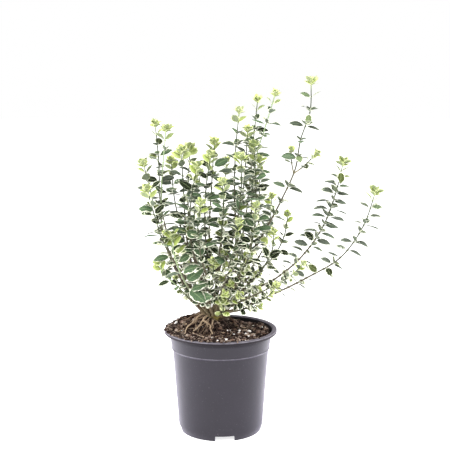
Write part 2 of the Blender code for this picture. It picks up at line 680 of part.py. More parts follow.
def soil_under(soil_tree, x, y, reach):
    """The highest soil within reach of (x, y)."""
    heights = []
    for step in range(9):
        angle = 2 * math.pi * step / 8
        away = reach if step < 8 else 0.0
        start = Vector((x + away * math.cos(angle), y + away * math.sin(angle), 2 * SOIL_TOP))
        heights.append(soil_tree.ray_cast(start, Vector((0, 0, -1)))[0].z)
    return max(heights)


def crown(paint):
    """The woody knot: a knobbly dome on a flat seat on the soil."""
    bm = bmesh.new()
    steps, radii = 20, (0, 6, 12, 16.5, CROWN_RADIUS)
    rows = []
    for radius in radii[1:]:
        row = []
        for step in range(steps):
            angle = 2 * math.pi * step / steps
            out = radius * (1 + 0.05 * math.sin(3 * angle + radius))
            place = (CROWN[0] + out * math.cos(angle), CROWN[1] + out * math.sin(angle))
            row.append(bm.verts.new((*place, crown_height(radius))))
        rows.append(row)
    rows.append([bm.verts.new((v.co.x, v.co.y, SOIL_TOP + GAP)) for v in rows[-1]])
    peak = bm.verts.new((*CROWN, crown_height(0)))
    for step in range(steps):
        beside = (step + 1) % steps
        bm.faces.new((peak, rows[0][step], rows[0][beside]))
        for upper, lower in zip(rows, rows[1:]):
            bm.faces.new((upper[step], lower[step], lower[beside], upper[beside]))
    bm.faces.new(list(reversed(rows[-1])))
    smooth_round(object_of("crown", bm, paint))


def surface_root(name, half, route, soil_tree, paint):
    """A root that follows the soil's top at the least height that clears it."""
    path = smooth_line([(x, y, 0) for x, y in route])[::3]
    curve = bpy.data.curves.new(name, "CURVE")
    curve.dimensions = "3D"
    curve.bevel_depth = half * MM
    curve.bevel_resolution = 1
    curve.use_fill_caps = True
    spline = curve.splines.new("POLY")
    spline.points.add(len(path) - 1)
    for point, (x, y, _) in zip(spline.points, path):
        height = soil_under(soil_tree, x, y, 2.5) + half + 2 * GAP
        point.co = (x * MM, y * MM, height * MM, 1)
    curve.materials.append(paint)
    bpy.context.scene.collection.objects.link(bpy.data.objects.new(name, curve))


def grain(name, x, y, size, soil_tree, paint):
    """A perlite grain: an uneven ball."""
    bm = bmesh.new()
    height = soil_under(soil_tree, x, y, size) + size + GAP
    bmesh.ops.create_icosphere(bm, subdivisions=1, radius=size)
    for vertex in bm.verts:
        vertex.co *= 1 - 0.12 * math.sin(7 * vertex.co.x + x) ** 2
    bmesh.ops.translate(bm, verts=bm.verts, vec=(x, y, height))
    object_of(name, bm, paint)


def bark_chip(name, x, y, size, turn, soil_tree, paint):
    """A bark chip: a thin block with its edges broken."""
    bm = bmesh.new()
    height = soil_under(soil_tree, x, y, size) + 0.25 * size + 2 * GAP
    place = Matrix.Translation((x, y, height)) @ Matrix.Rotation(math.radians(turn), 4, "Z")
    place = place @ Matrix.Diagonal((1.8 * size, size, 0.4 * size, 1))
    bmesh.ops.create_cube(bm, size=1.0, matrix=place)
    bmesh.ops.bevel(bm, geom=bm.edges[:], offset=0.12 * size, segments=1, affect="EDGES")
    object_of(name, bm, paint)


# Shoots as solids


def corners_of(section):
    """Corners in order round the stem, anticlockwise seen from its tip."""
    middle, u, v = section
    return [Vector(middle + corner) for corner in (u + v, v - u, -u - v, u - v)]


def first_prism(bm, lower, upper):
    """A closed prism between two cross-sections. Returns its upper face."""
    below = [bm.verts.new(corner) for corner in corners_of(lower)]
    above = [bm.verts.new(corner) for corner in corners_of(upper)]
    bm.faces.new(below[::-1])
    for i in range(4):
        bm.faces.new((below[i], below[(i + 1) % 4], above[(i + 1) % 4], above[i]))
    return bm.faces.new(above)


def drawn_out(bm, face, before, after):
    """Extrudes a face from one cross-section to another; each corner keeps its quarter."""
    grown = bmesh.ops.extrude_discrete_faces(bm, faces=[face])["faces"][0]
    for vertex in grown.verts:
        off = np.array(vertex.co) - before.middle
        u = after.u * math.copysign(1, np.dot(off, before.u))
        v = after.v * math.copysign(1, np.dot(off, before.v))
        vertex.co = Vector(after.middle + u + v)
    return grown


def pointed(bm, face, point):
    """Closes a face with a point."""
    tip = bmesh.ops.poke(bm, faces=[face])["verts"][0]
    tip.co = Vector(point)


def side_face(top, away, middle):
    """The face beside the top one that looks away to a side."""
    sides = {face for edge in top.edges for face in edge.link_faces if face is not top}
    return max(sides, key=lambda face: (np.array(face.calc_center_median()) - middle) @ away)


def side_section(face, ahead, away):
    """A stem's side face as a cross-section that looks outwards."""
    middle = np.array(face.calc_center_median())
    return Section(middle, np.cross(ahead, away), ahead)


def grow_leaf(bm, face, before, leaf):
    """A leaf drawn out of a stem's side: widest before its middle, then pointed."""
    wide = Section(leaf.at(WIDEST), leaf.across * leaf.length * LEAF_SLIMNESS / 2, leaf.up * BLADE)
    blade = drawn_out(bm, face, before, wide)
    pointed(bm, blade, leaf.at(1.0))


def stem_places(stem):
    """Where the cross-sections stand: two close together at each leaf pair, and some between."""
    places, joints = [0.0], {}
    for number, along in sorted(enumerate(stem.pair_places()), key=lambda pair: pair[1]):
        start = along - NODE_LENGTH / 2
        between = int((start - places[-1]) / MOST_STRAIGHT)
        places += list(np.linspace(places[-1], start, between + 2)[1:-1])
        places += [start, min(along + NODE_LENGTH / 2, stem.length)]
        joints[len(places) - 1] = number
    return places, joints


def grow_stem(bm, stem, face, before):
    """Draws a stem out along its line. Leaves and twigs grow from the short stretches at its joints."""
    turn = stem.rule.turn
    places, joints = stem_places(stem)
    for step, place in enumerate(places[1:], 1):
        ahead, after = stem.section(place, turn)
        if face is None:
            face = first_prism(bm, before, after)
        else:
            face = drawn_out(bm, face, before, after)
        before = after
        for side in range(4):
            leaf = stem.leaves.get((joints.get(step), side))
            twig = stem.twigs.get((joints.get(step), side))
            if leaf or twig:
                away = stem.away(place, side, turn)
                base = side_face(face, away, after.middle)
                section = side_section(base, ahead, away)
                if leaf:
                    grow_leaf(bm, base, section, leaf)
                else:
                    grow_stem(bm, twig, base, section)
    pointed(bm, face, stem.line[-1] + STEM_TIP * unit(stem.line[-1] - stem.line[-3]))


def shoot_object(name, stems, paint):
    bm = bmesh.new()
    main_stem = stems[0]
    grow_stem(bm, main_stem, None, main_stem.section(0.0, main_stem.rule.turn)[1])
    object_of(name, bm, paint)


def main():
    for old in list(bpy.data.objects):
        bpy.data.objects.remove(old)
    paint = {name: material(name, *look) for name, look in MATERIALS.items()}
    pot(paint["black_plastic"])
    soil_tree = root_ball(paint["soil"])
    crown(paint["bark"])
    for name, half, route in ROOTS:
        surface_root(name, half, route, soil_tree, paint["root"])
    for number, (x, y, size) in enumerate(PERLITE, 1):
        grain(f"perlite_{number}", x, y, size, soil_tree, paint["perlite"])
    for number, (x, y, size, turn) in enumerate(BARK_CHIPS, 1):
        bark_chip(f"bark_chip_{number}", x, y, size, turn, soil_tree, paint["bark"])
    for shoot, stems in grown_shoots():
        shoot_object(shoot.name, stems, paint["leaf"])


if __name__ == "__main__":
    main()
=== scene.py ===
"""Looks of the potted euonymus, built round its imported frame.

Shapes are worked out in millimetres, as whole arrays, and become metres in the mesh. +Z is up, -Y is
the front, and the origin is the middle of the pot's foot. Shoots grow by the same rules as the frame's.
"""

import itertools
import math
from typing import NamedTuple

import bpy
import numpy as np
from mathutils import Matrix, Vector
from mathutils.bvhtree import BVHTree

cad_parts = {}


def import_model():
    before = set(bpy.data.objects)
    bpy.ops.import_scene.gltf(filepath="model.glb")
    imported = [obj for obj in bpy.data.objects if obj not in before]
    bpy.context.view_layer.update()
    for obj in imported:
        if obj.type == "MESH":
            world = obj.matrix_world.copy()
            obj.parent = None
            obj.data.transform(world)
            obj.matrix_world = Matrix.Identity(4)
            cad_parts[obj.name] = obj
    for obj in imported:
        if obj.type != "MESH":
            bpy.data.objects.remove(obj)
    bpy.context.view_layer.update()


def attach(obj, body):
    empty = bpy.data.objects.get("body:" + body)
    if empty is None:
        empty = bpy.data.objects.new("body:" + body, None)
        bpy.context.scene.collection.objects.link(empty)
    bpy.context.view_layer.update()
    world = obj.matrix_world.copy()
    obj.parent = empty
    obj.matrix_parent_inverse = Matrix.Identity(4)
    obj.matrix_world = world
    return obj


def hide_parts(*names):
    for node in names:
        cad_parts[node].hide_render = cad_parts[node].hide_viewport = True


MM = 0.001

# The pot, mm, with points of its outside as (radius, height). Its wall runs from the foot to a step, then
# up a band to the lip.
LIP_RADIUS = 75.0
LIP_TOP = 138.0
LIP_BOTTOM = 133.8
BAND_TOP = (67.7, 131.0)
BAND_BOTTOM = (65.1, 113.0)
BODY_TOP = (63.9, 111.2)
BODY_BOTTOM = (56.7, 11.0)
FOOT_TURN = (55.6, 5.0)
FOOT_RADIUS = 53.6
WALL = 1.2  # its thickness
FLOOR_UNDERSIDE = 8.0
PAD_RADIUS = 14.0  # the middle of the floor comes down to the ground
POT_STEPS = 180  # points round each of its rings
NOTCH_WIDTH = 26.0
NOTCH_HEIGHT = 7.0
NOTCH_TURNS = (-84.0, 6.0, 96.0, 186.0)  # degrees from +X

# The root ball, mm: a level, and heaps as (x, y, height, spread in x, spread in y).
SOIL_LEVEL = 130.5
SOIL_EDGE = 65.7
SOIL_TOP = 150.0  # no heap rises past this
SOIL_HEAPS = ((-14, 14, 18.5, 42, 36), (-52, 12, 8.5, 26, 34), (-20, -58, 7.5, 55, 22))

# The crown, mm: the low woody knot that the shoots grow from.
CROWN = (-9.0, 14.0)
CROWN_RADIUS = 19.5
CROWN_RISE = 8.0
SEAT_RINGS = ((0, 1), (6.0, 6), (11.5, 11), (17.0, 17))  # radius and how many shoots sit there
SEAT_REACH = 0.36  # how far out a shoot would sit, as a part of its lean

# How stems and leaves are set, mm.
LINE_STEP = 1.0  # from one point of a stem's line to the next
FIRST_PAIR = 2.5  # from the tip to the first pair of leaves
STEM_FOOT = 1.5  # half of a stem's thickness
TWIG_FOOT = 0.9
STEM_TIP = 0.55
FOOT_LIFT = 2.2  # from the crown up to the middle of a stem's foot
GROWN = 50.0  # distance from the tip at which wood and leaves are full size
WORN = (120.0, 230.0)  # between these distances from the tip leaves get smaller again
WORN_SIZE = 0.66
FIRST_DRAW = 40  # the seed of the first shoot's small differences
LEAF_SLIMNESS = 0.56  # its breadth as a share of its length
WIDEST = 0.48  # where along a leaf it is widest
LEAF_DROOP = 0.30  # how far its midrib bends, in droop()
LEAF_RISE = (62.0, 28.0)  # degrees up from the stem's side, at the tip and on grown wood
TURN_STRAY, RISE_STRAY, LENGTH_STRAY = 12.0, 9.0, 0.12  # how far one leaf differs from the next
LEAF_BASE = 0.14  # where along a leaf its base is clear of the stem
BLADE = 0.5  # half of a blade's thickness in the frame
ROOM = 0.5  # kept free round each leaf and stem
SPRIG_LENGTH = 34.0  # a sprig is a short side twig
SPRIG_GAP = 26.0  # along the stem, from one sprig to the next
# A leaf is tried in each way: shares of its own size and roll, then degrees of lift and of turn.
TRIES = tuple(itertools.product((1.0, 0.84, 0.68), (1.0, 0.2), (0, 16, -14, 30), (0, 16, -16, 32, -32)))


class Shoot(NamedTuple):
    """A stem's route from the crown to its tip, and the rule that sets its leaf pairs (mm, degrees)."""

    name: str
    route: tuple
    leaf: tuple = (8, 21)  # length at the tip and on grown wood
    gap: tuple = (8, 17)  # between pairs, at the tip and on grown wood
    bare: float = 26.0  # the foot of the stem, without leaves
    turn: float = 0.0
    crossed: bool = True  # each pair is square to the next; on arching shoots all lie in one plane
    twigs: tuple = ()
    sprigs: int = 0
    lift: float = 0.0  # raises its grown leaves, or lets them hang
    level: float = 0.35  # how far they swing towards level
    light: tuple = (0, 0, 0.35)  # the way that they turn their faces, and how far
    roll: float = 42.0  # how far a leaf may roll about its midrib
    lost: tuple = ()  # leaves that it no longer has: number of the pair from the tip, and side


class Leaf(NamedTuple):
    """A leaf's base on its stem, the way it reaches, and the way its upper face looks."""

    root: np.ndarray
    outward: np.ndarray
    up: np.ndarray
    length: float
    age: float  # 0 at the tip, 1 on grown wood

    @property
    def across(self):
        """The direction from one margin to the other."""
        return np.cross(self.up, self.outward)

    def at(self, along):
        """A point of the midrib, which leaves the stem straight and then droops."""
        return self.root + self.length * (along * self.outward + droop(along) * self.up)


SPRIG = Shoot("", (), (8, 15), (7, 11), 7)
TALL_TWIGS = (
    Shoot("", ((92, 2, 341), (107, -4, 354), (124, -8, 372)), (9, 13), (7, 12), 8),
    Shoot("", ((93, 2, 345), (93, 7, 358), (92, 8, 376)), (8, 11), (7, 12), 10, 40),
)

SHOOTS = (
    Shoot("shoot_tall_right", ((49, 6, 251), (79, 0, 309), (98, 2, 353), (104, 5, 388), (116, 6, 425),
          (117, 6, 463)), (12, 19), (17, 21), 74, 0, twigs=TALL_TWIGS, lift=-16, light=(0, -0.6, 0.4),
          roll=24),
    Shoot("shoot_arching_right", ((34, -4, 186), (70, -6, 205), (102, -12, 233), (131, -16, 274),
          (149, -16, 323), (158, -12, 360)), (12, 19), (9, 11), 66, 90, crossed=False, lift=-18,
          level=0.6, light=(0, -0.15, 0.9), roll=28),
    Shoot("shoot_low_right", ((55, -22, 183), (110, -34, 213), (154, -40, 242), (183, -38, 284),
          (197, -34, 325)), (12, 18), (9, 13), 84, 90, crossed=False, lift=-18, level=0.6,
          light=(0, -0.15, 0.9), roll=28),
    Shoot("shoot_high_back", ((27, 38, 203), (42, 46, 252), (42, 48, 297), (47, 44, 358), (63, 40, 414),
          (73, 38, 448)), (10, 20), (12, 17), 60, 10, level=0.6, roll=24),
    Shoot("shoot_high_far", ((21, 50, 218), (35, 62, 281), (40, 66, 329), (46, 60, 398), (50, 56, 439)),
          (10, 20), (12, 17), 60, -20, level=0.6, roll=24),
    Shoot("shoot_high_middle", ((14, -14, 222), (20, -22, 263), (18, -26, 314), (19, -24, 374),
          (24, -20, 428)), (10, 21), (13, 17), 46, 30, sprigs=2),
    Shoot("shoot_high_left", ((-39, 2, 186), (-64, -6, 229), (-76, -10, 273), (-76, -10, 331),
          (-70, -6, 404)), (12, 19), (12, 18), 40, 0, sprigs=1),
    Shoot("shoot_far_left_top", ((-41, 22, 193), (-65, 30, 241), (-80, 30, 299), (-82, 26, 360),
          (-86, 24, 408)), (12, 19), (12, 17), 46, -15, sprigs=1),
    Shoot("shoot_left_outer", ((-44, -20, 193), (-65, -28, 244), (-82, -32, 296), (-91, -30, 332),
          (-98, -28, 361)), (12, 20), (9, 15), 40, 10, sprigs=1),
    Shoot("shoot_left_front", ((-46, -33, 214), (-70, -50, 258), (-83, -54, 298), (-92, -52, 331)),
          (12, 21), (9, 15), 34, 20, sprigs=1),
    Shoot("shoot_left_tuft_front", ((-31, -14, 204), (-43, -22, 258), (-47, -22, 313), (-50, -18, 376)),
          (13, 21), (8, 15), 40, 0, sprigs=2),
    Shoot("shoot_left_tuft_right", ((-25, 12, 195), (-39, 16, 243), (-43, 16, 301), (-40, 14, 378)),
          (13, 21), (8, 15), 44, 45, sprigs=1),
    Shoot("shoot_left_tuft_back", ((-33, 30, 197), (-50, 42, 252), (-63, 44, 311), (-66, 42, 357)),
          (12, 22), (8, 15), 40, 20, sprigs=1),
    Shoot("shoot_left_inner_front", ((-26, -34, 216), (-39, -50, 276), (-36, -52, 323),
          (-29, -50, 360)), (12, 23), (8, 15), 36, -30, sprigs=2),
    Shoot("shoot_middle_upright", ((-13, 4, 216), (-15, 6, 267), (-12, 6, 323), (-8, 4, 386)),
          (12, 23), (8, 16), 44, 15, sprigs=2),
    Shoot("shoot_middle_front", ((-16, -22, 227), (-20, -36, 283), (-18, -38, 334), (-12, -34, 372)),
          (12, 22), (8, 15), 38, -10, sprigs=2),
    Shoot("shoot_middle_back", ((13, 22, 210), (24, 30, 259), (31, 30, 326), (36, 26, 400)),
          (11, 21), (8, 15), 44, 0),
    Shoot("shoot_right_of_middle", ((31, 0, 228), (45, -8, 277), (46, -10, 325), (43, -12, 382)),
          (12, 21), (8, 14), 40, 28, sprigs=2),
    Shoot("shoot_middle_near", ((7, -34, 234), (20, -46, 284), (26, -48, 329), (26, -44, 370)),
          (12, 21), (8, 14), 34, 0, sprigs=3),
    Shoot("shoot_right_back", ((34, 30, 211), (49, 38, 251), (52, 40, 298), (52, 36, 359)),
          (11, 20), (8, 14), 40, -25, sprigs=1),
    Shoot("shoot_broad_leaves", ((-36, -34, 191), (-51, -45, 222), (-60, -48, 252), (-62, -48, 270)),
          (14, 28), (10, 14), 38, 76, crossed=False, lift=-8, light=(0, -2.2, 0.3), roll=16,
          lost=((3, 0), (4, 0), (5, 0), (6, 0), (7, 0))),
    Shoot("shoot_left_low", ((-36, -18, 177), (-55, -28, 200), (-74, -36, 222), (-80, -36, 235)),
          (11, 21), (8, 14), 28, 10, lost=((5, 3), (6, 0), (6, 2))),
    Shoot("shoot_right_low_a", ((31, -24, 198), (56, -36, 229), (67, -38, 256), (68, -36, 274)),
          (9, 20), (8, 11), 28, 0, sprigs=1),
    Shoot("shoot_right_low_b", ((38, -42, 190), (69, -56, 209), (90, -60, 223), (104, -60, 237)),
          (8, 17), (8, 11), 30, 20, sprigs=1),
    Shoot("shoot_right_low_c", ((32, -30, 172), (49, -46, 186), (63, -56, 197), (70, -60, 209)),
          (9, 16), (7, 8), 30, 0, lost=((9, 1),)),
    Shoot("shoot_right_low_d", ((22, -44, 213), (36, -60, 248), (42, -64, 283), (44, -62, 312)),
          (9, 16), (8, 11), 30, -20, sprigs=2),
    Shoot("shoot_right_low_back", ((37, 28, 200), (69, 30, 226), (85, 28, 256), (90, 24, 288)),
          (9, 16), (9, 12), 30, 10, sprigs=1),
    Shoot("shoot_back_middle", ((-1, 46, 210), (2, 66, 267), (5, 72, 314), (8, 72, 356)),
          (9, 21), (8, 16), 40, 0),
    Shoot("shoot_back_left", ((-24, 44, 205), (-37, 66, 253), (-34, 72, 301), (-27, 72, 339)),
          (9, 21), (8, 16), 38, 24),
    Shoot("shoot_back_right", ((27, 48, 190), (58, 72, 230), (69, 80, 271), (71, 80, 305)),
          (9, 19), (8, 15), 38, -30),
    Shoot("shoot_front_middle", ((-4, -34, 226), (1, -60, 274), (4, -66, 313), (2, -64, 341)),
          (10, 20), (9, 14), 34, 0, sprigs=2),
    Shoot("shoot_front_left", ((-17, -44, 213), (-26, -66, 256), (-28, -72, 289), (-24, -72, 316)),
          (10, 20), (9, 14), 32, 10, sprigs=2),
    Shoot("shoot_front_right", ((4, -46, 208), (12, -66, 241), (19, -72, 267), (22, -72, 292)),
          (9, 16), (8, 12), 30, -15, sprigs=1),
    Shoot("shoot_low_tuft", ((-16, -29, 183), (-11, -50, 212), (-8, -60, 240)),
          (10, 13), (7, 10), 26, 0),
    Shoot("shoot_crown_tuft", ((3, -28, 167), (3, -35, 181)), (10, 12), (7, 8), 14, 30),
)

# Roots that run over the soil: half thickness, and the points that they pass (x, y), mm.
ROOTS = (
    ("root_main", 1.3, ((-22, -7), (-15, -10), (-12, -18), (-11, -31), (-12, -40))),
    ("root_left", 1.2, ((-31, 0), (-36, -6), (-42, -12), (-46, -20), (-47, -29))),
    ("root_loop", 0.9, ((-30, -15), (-37, -21), (-33, -31), (-27, -38), (-20, -54), (-15, -61))),
    ("root_far_left", 0.8, ((-33, 8), (-45, 2), (-52, -11), (-55, -22))),
    ("root_right", 0.9, ((13, 8), (22, 2), (30, -14), (31, -26))),
)

# White grains and bark chips on the soil: x, y and size, mm.
PERLITE = ((7, -59, 1.9), (25, -11, 2.0), (37, -27, 2.1), (40, -19, 1.8), (38, -8, 1.9), (17, -26, 1.7),
           (-59, 4, 1.9), (-49, -36, 1.7))
BARK_CHIPS = ((-1, -44, 4.2), (50, -8, 3.6), (-38, -44, 4.0), (20, 30, 4.4))


# The ground that the plant grows in


def bell(x, y, spread_x, spread_y):
    """e to the minus square of the distance from the middle, measured in spreads."""
    return np.exp(-((x / spread_x) ** 2) - (y / spread_y) ** 2)


def soil_height(x, y):
    """Height of the soil's top at (x, y): a level with small lumps, and heaps shaped like a bell."""
    height = SOIL_LEVEL + 0.5 * np.sin(x / 4.3 + 1) * np.sin(y / 3.7)
    for middle_x, middle_y, rise, *spreads in SOIL_HEAPS:
        height = height + rise * bell(x - middle_x, y - middle_y, *spreads)
    return np.minimum(height, SOIL_TOP)


def crown_height(radius):
    """Height of the crown's top at a distance from its middle: a dome, round as a squashed ball."""
    return SOIL_TOP + 1.6 + CROWN_RISE * math.sqrt(max(0.0, 1 - (radius / CROWN_RADIUS) ** 2))


# How the shoots grow. All of this is in millimetres.


def unit(vector):
    """The vector at length 1."""
    return vector / np.linalg.norm(vector)


def droop(along):
    """How far a midrib stands off its straight line, as a share of the leaf's length: a parabola."""
    return LEAF_DROOP * along * (0.45 - along)


def between(limits, share):
    """A size between two limits, at a share of the way from the first to the second."""
    return limits[0] + (limits[1] - limits[0]) * share


def turned(vector, axis, degrees):
    """The vector, which is square to the axis, turned round it."""
    angle = math.radians(degrees)
    return vector * math.cos(angle) + np.cross(axis, vector) * math.sin(angle)


def smooth_line(points):
    """A curve through the points, cubic between each two, as points LINE_STEP apart."""
    points = np.array(points, float)
    chord = np.concatenate([[0], np.cumsum(np.linalg.norm(np.diff(points, axis=0), axis=1))])
    slope = np.gradient(points, chord, axis=0)
    at = np.linspace(0, chord[-1], int(chord[-1]))
    piece = np.clip(np.searchsorted(chord, at, side="right") - 1, 0, len(points) - 2)
    span = (chord[piece + 1] - chord[piece])[:, None]
    t = (at[:, None] - chord[piece][:, None]) / span
    curve = (
        (2 * t**3 - 3 * t**2 + 1) * points[piece]
        + (t**3 - 2 * t**2 + t) * span * slope[piece]
        + (3 * t**2 - 2 * t**3) * points[piece + 1]
        + (t**3 - t**2) * span * slope[piece + 1]
    )
    length = np.concatenate([[0], np.cumsum(np.linalg.norm(np.diff(curve, axis=0), axis=1))])
    even = np.arange(0, length[-1], LINE_STEP)
    return np.stack([np.interp(even, length, curve[:, axis]) for axis in range(3)], axis=1)


def crown_seats():
    """Places for the shoots' feet: one in the crown's middle, the rest on rings round it."""
    seats = []
    for radius, count in SEAT_RINGS:
        for step in range(count):
            angle = 2 * math.pi * (step + 0.5) / count
            x = CROWN[0] + radius * math.cos(angle)
            y = CROWN[1] + radius * math.sin(angle)
            seats.append((x, y, crown_height(radius) + FOOT_LIFT))
    return seats


def stem_lines():
    """Each shoot's middle line. Shoots swap seats until each sits near the side that it leans to.

    The lower a shoot sets out, the more it matters that it sits on its own side.
    """
    seats = np.array(crown_seats())[: len(SHOOTS)]
    lean = np.array([shoot.route[0][:2] for shoot in SHOOTS], float) - CROWN
    wanted = np.array(CROWN) + lean * SEAT_REACH
    rise = np.array([shoot.route[0][2] for shoot in SHOOTS], float) - SOIL_TOP
    cost = ((wanted[:, None] - seats[None, :, :2]) ** 2).sum(axis=2) / rise[:, None] ** 2
    taken = list(range(len(SHOOTS)))
    better = True
    while better:
        better = False
        for a, b in itertools.combinations(range(len(SHOOTS)), 2):
            swapped = cost[a, taken[b]] + cost[b, taken[a]]
            if swapped < cost[a, taken[a]] + cost[b, taken[b]] - 1e-9:
                taken[a], taken[b] = taken[b], taken[a]
                better = True
    return [smooth_line([seats[seat], *shoot.route]) for seat, shoot in zip(taken, SHOOTS)]


class Stem:
    """A stem's middle line, the rule that it grows by, its leaves and its side twigs.

    It is thickest at its foot, and two of its four sides look along the reference direction.
    """

    def __init__(self, line, rule, foot_half, reference):
        self.line = line
        self.rule = rule
        self.foot_half = foot_half
        self.reference = np.array(reference, float)
        self.length = LINE_STEP * (len(line) - 1)
        self.leaves = {}  # by pair number and side
        self.twigs = {}

    def half(self, along):
        """Half of its thickness at a distance from the foot."""
        return self.foot_half + (STEM_TIP - self.foot_half) * along / self.length

    def section(self, along, turn=0.0):
        """The direction, middle and half axes of the cross-section at a distance from the foot."""
        where = min(along / LINE_STEP, len(self.line) - 1.001)
        before = int(where)
        middle = self.line[before] + (where - before) * (self.line[before + 1] - self.line[before])
        ahead = unit(self.line[min(before + 3, len(self.line) - 1)] - self.line[max(before - 2, 0)])
        v = unit(self.reference - ahead * np.dot(self.reference, ahead))
        v = turned(v, ahead, turn)
        half = self.half(along)
        return ahead, middle, np.cross(v, ahead) * half, v * half

    def pair_places(self):
        """Distances of the leaf pairs from the foot. They stand closer together towards the tip."""
        places = []
        from_tip = FIRST_PAIR
        while from_tip < self.length - self.rule.bare:
            places.append(self.length - from_tip)
            from_tip += self.grown(self.rule.gap, from_tip)
        return places

    def away(self, along, side, turn=0.0):
        """The direction that one of the stem's four sides looks in."""
        _, _, u, v = self.section(along, turn)
        return unit((v, u, -v, -u)[side])

    def sides(self, number):
        """The two sides of the stem that a leaf pair grows from."""
        first = number % 2 if self.rule.crossed else 0
        return first, first + 2

    @staticmethod
    def grown(sizes, from_tip):
        """A size between that at the tip and that on grown wood."""
        return between(sizes, min(from_tip / GROWN, 1))


def leaf_from(stem, along, side, size, roll_share, lift, turn, chance):
    """The leaf that leaves a stem on one of its four sides, reaching out and up along the stem."""
    ahead, middle, u, _ = stem.section(along)
    away = stem.away(along, side, stem.rule.turn + TURN_STRAY * chance[0])
    root = middle + away * np.linalg.norm(u)
    from_tip = stem.length - along
    age = min(from_tip / GROWN, 1.0)
    rise = stem.grown(LEAF_RISE, from_tip) + stem.rule.lift * age + lift + RISE_STRAY * chance[1]
    rise = math.radians(rise)
    away_turned = turned(away, ahead, turn)
    outward = away_turned * math.cos(rise) + ahead * math.sin(rise)
    outward = unit(outward - np.array((0, 0, stem.rule.level * age * outward[2])))
    up = ahead * math.cos(rise) - away_turned * math.sin(rise) + np.array(stem.rule.light) * age
    up = unit(up - outward * np.dot(up, outward))
    up = turned(up, outward, stem.rule.roll * roll_share * chance[2])
    worn = np.interp(from_tip, WORN, (1.0, WORN_SIZE))
    length = stem.grown(stem.rule.leaf, from_tip) * worn * size * (1 + LENGTH_STRAY * chance[3])
    return Leaf(root, outward, up, length, age)


def leaf_shell(leaf):
    """Corners and faces of a thin kite with a blunt base round a leaf, with some room on every side."""
    half = leaf.length * LEAF_SLIMNESS / 2
    corners = []
    for along, wide, thick in ((LEAF_BASE, half / 4 + STEM_TIP, 2 * BLADE), (WIDEST, half, BLADE)):
        middle, u, v = leaf.at(along), leaf.across * (wide + ROOM), leaf.up * (thick + ROOM)
        corners += [middle + u + v, middle - u + v, middle - u - v, middle + u - v]
    corners.append(leaf.at(1.0) + leaf.outward * ROOM)
    faces = [(0, 1, 2, 3), (0, 4, 5, 1), (1, 5, 6, 2), (2, 6, 7, 3), (3, 7, 4, 0),
             (4, 8, 5), (5, 8, 6), (6, 8, 7), (7, 8, 4)]
    return corners, faces


def stem_shell(stem):
    """Corners and faces of a square tube round a stem, with some room on every side."""
    corners, faces = [], []
    for along in np.linspace(0, stem.length, max(3, int(stem.length / 8))):
        _, middle, u, v = stem.section(along)
        u = u * (1 + ROOM / np.linalg.norm(u))
        v = v * (1 + ROOM / np.linalg.norm(v))
        start = len(corners)
        corners += [middle + u + v, middle - u + v, middle - u - v, middle + u - v]
        if start:
            faces += [(start - 4 + i, start - 4 + (i + 1) % 4, start + (i + 1) % 4, start + i)
                      for i in range(4)]
    return corners, faces


def ground_shell():
    """A surface just over the soil and the pot's lip, which no leaf may cross."""
    radius = np.array([0, 12, 24, 36, 48, 58, 66, LIP_RADIUS + 3, LIP_RADIUS + 3])[:, None]
    rings = around_axis(radius, 0, round_angles(36))
    over_lip = np.where(radius > 60, LIP_TOP + 2.0, 0)
    rings[..., 2] = np.maximum(soil_height(rings[..., 0], rings[..., 1]) + 4.5, over_lip)
    rings[-1, :, 2] = LIP_BOTTOM - 30
    skin = closed_skin(rings[None], np.array([[rings[0, 0], (0, 0, LIP_BOTTOM - 30)]]))
    return list(skin.corners), skin.faces[0].tolist()


def tree(shells):
    """One search tree over many shells."""
    corners, faces = [], []
    for more_corners, more_faces in shells:
        start = len(corners)
        corners += more_corners
        faces += [tuple(start + i for i in face) for face in more_faces]
    return BVHTree.FromPolygons(corners, faces, epsilon=0.0)


def stems_tree(stems):
    """One search tree over several stems."""
    return tree([stem_shell(stem) for stem in stems])


def set_leaves(stem, chances, own_stems, others):
    """Sets a stem's leaf pairs. One that would touch something turns, lifts, shrinks or is left out."""
    placed = []
    for number, along in enumerate(stem.pair_places()):
        for side in stem.sides(number):
            chance = chances.uniform(-1, 1, 4)
            if (number, side) in stem.twigs or (number, side) in stem.rule.lost:
                continue
            for trial in TRIES:
                leaf = leaf_from(stem, along, side, *trial, chance)
                shell = tree([leaf_shell(leaf)])
                if not any(shell.overlap(other) for other in [*others, *own_stems, *placed]):
                    stem.leaves[number, side] = leaf
                    placed.append(shell)
                    break
    return placed


def twig_of(stem, rule):
    """A twig that takes the place of one leaf, at the pair nearest to where its route starts."""
    start = LINE_STEP * np.linalg.norm(stem.line - np.array(rule.route[0], float), axis=1).argmin()
    places = stem.pair_places()
    number = min(range(len(places)), key=lambda n: abs(places[n] - start))
    ahead, middle, _, _ = stem.section(places[number])
    leans = np.array(rule.route[1], float) - middle
    side = max(stem.sides(number), key=lambda s: leans @ stem.away(places[number], s, stem.rule.turn))
    twig = Stem(smooth_line([middle, *rule.route[1:]]), rule, TWIG_FOOT, ahead)
    stem.twigs[number, side] = twig
    return twig


def sprig_from(stem, number, side, turn):
    """A short twig that leaves the stem on one side and bends up."""
    along = stem.pair_places()[number]
    ahead, start, _, _ = stem.section(along)
    away = turned(stem.away(along, side, stem.rule.turn), ahead, turn)
    knee = start + SPRIG_LENGTH * 0.5 * unit(away + 0.4 * ahead)
    end = knee + SPRIG_LENGTH * 0.5 * unit(away + ahead + np.array((0, 0, 0.6)))
    return Stem(smooth_line([start, knee, end]), SPRIG, TWIG_FOOT, ahead)


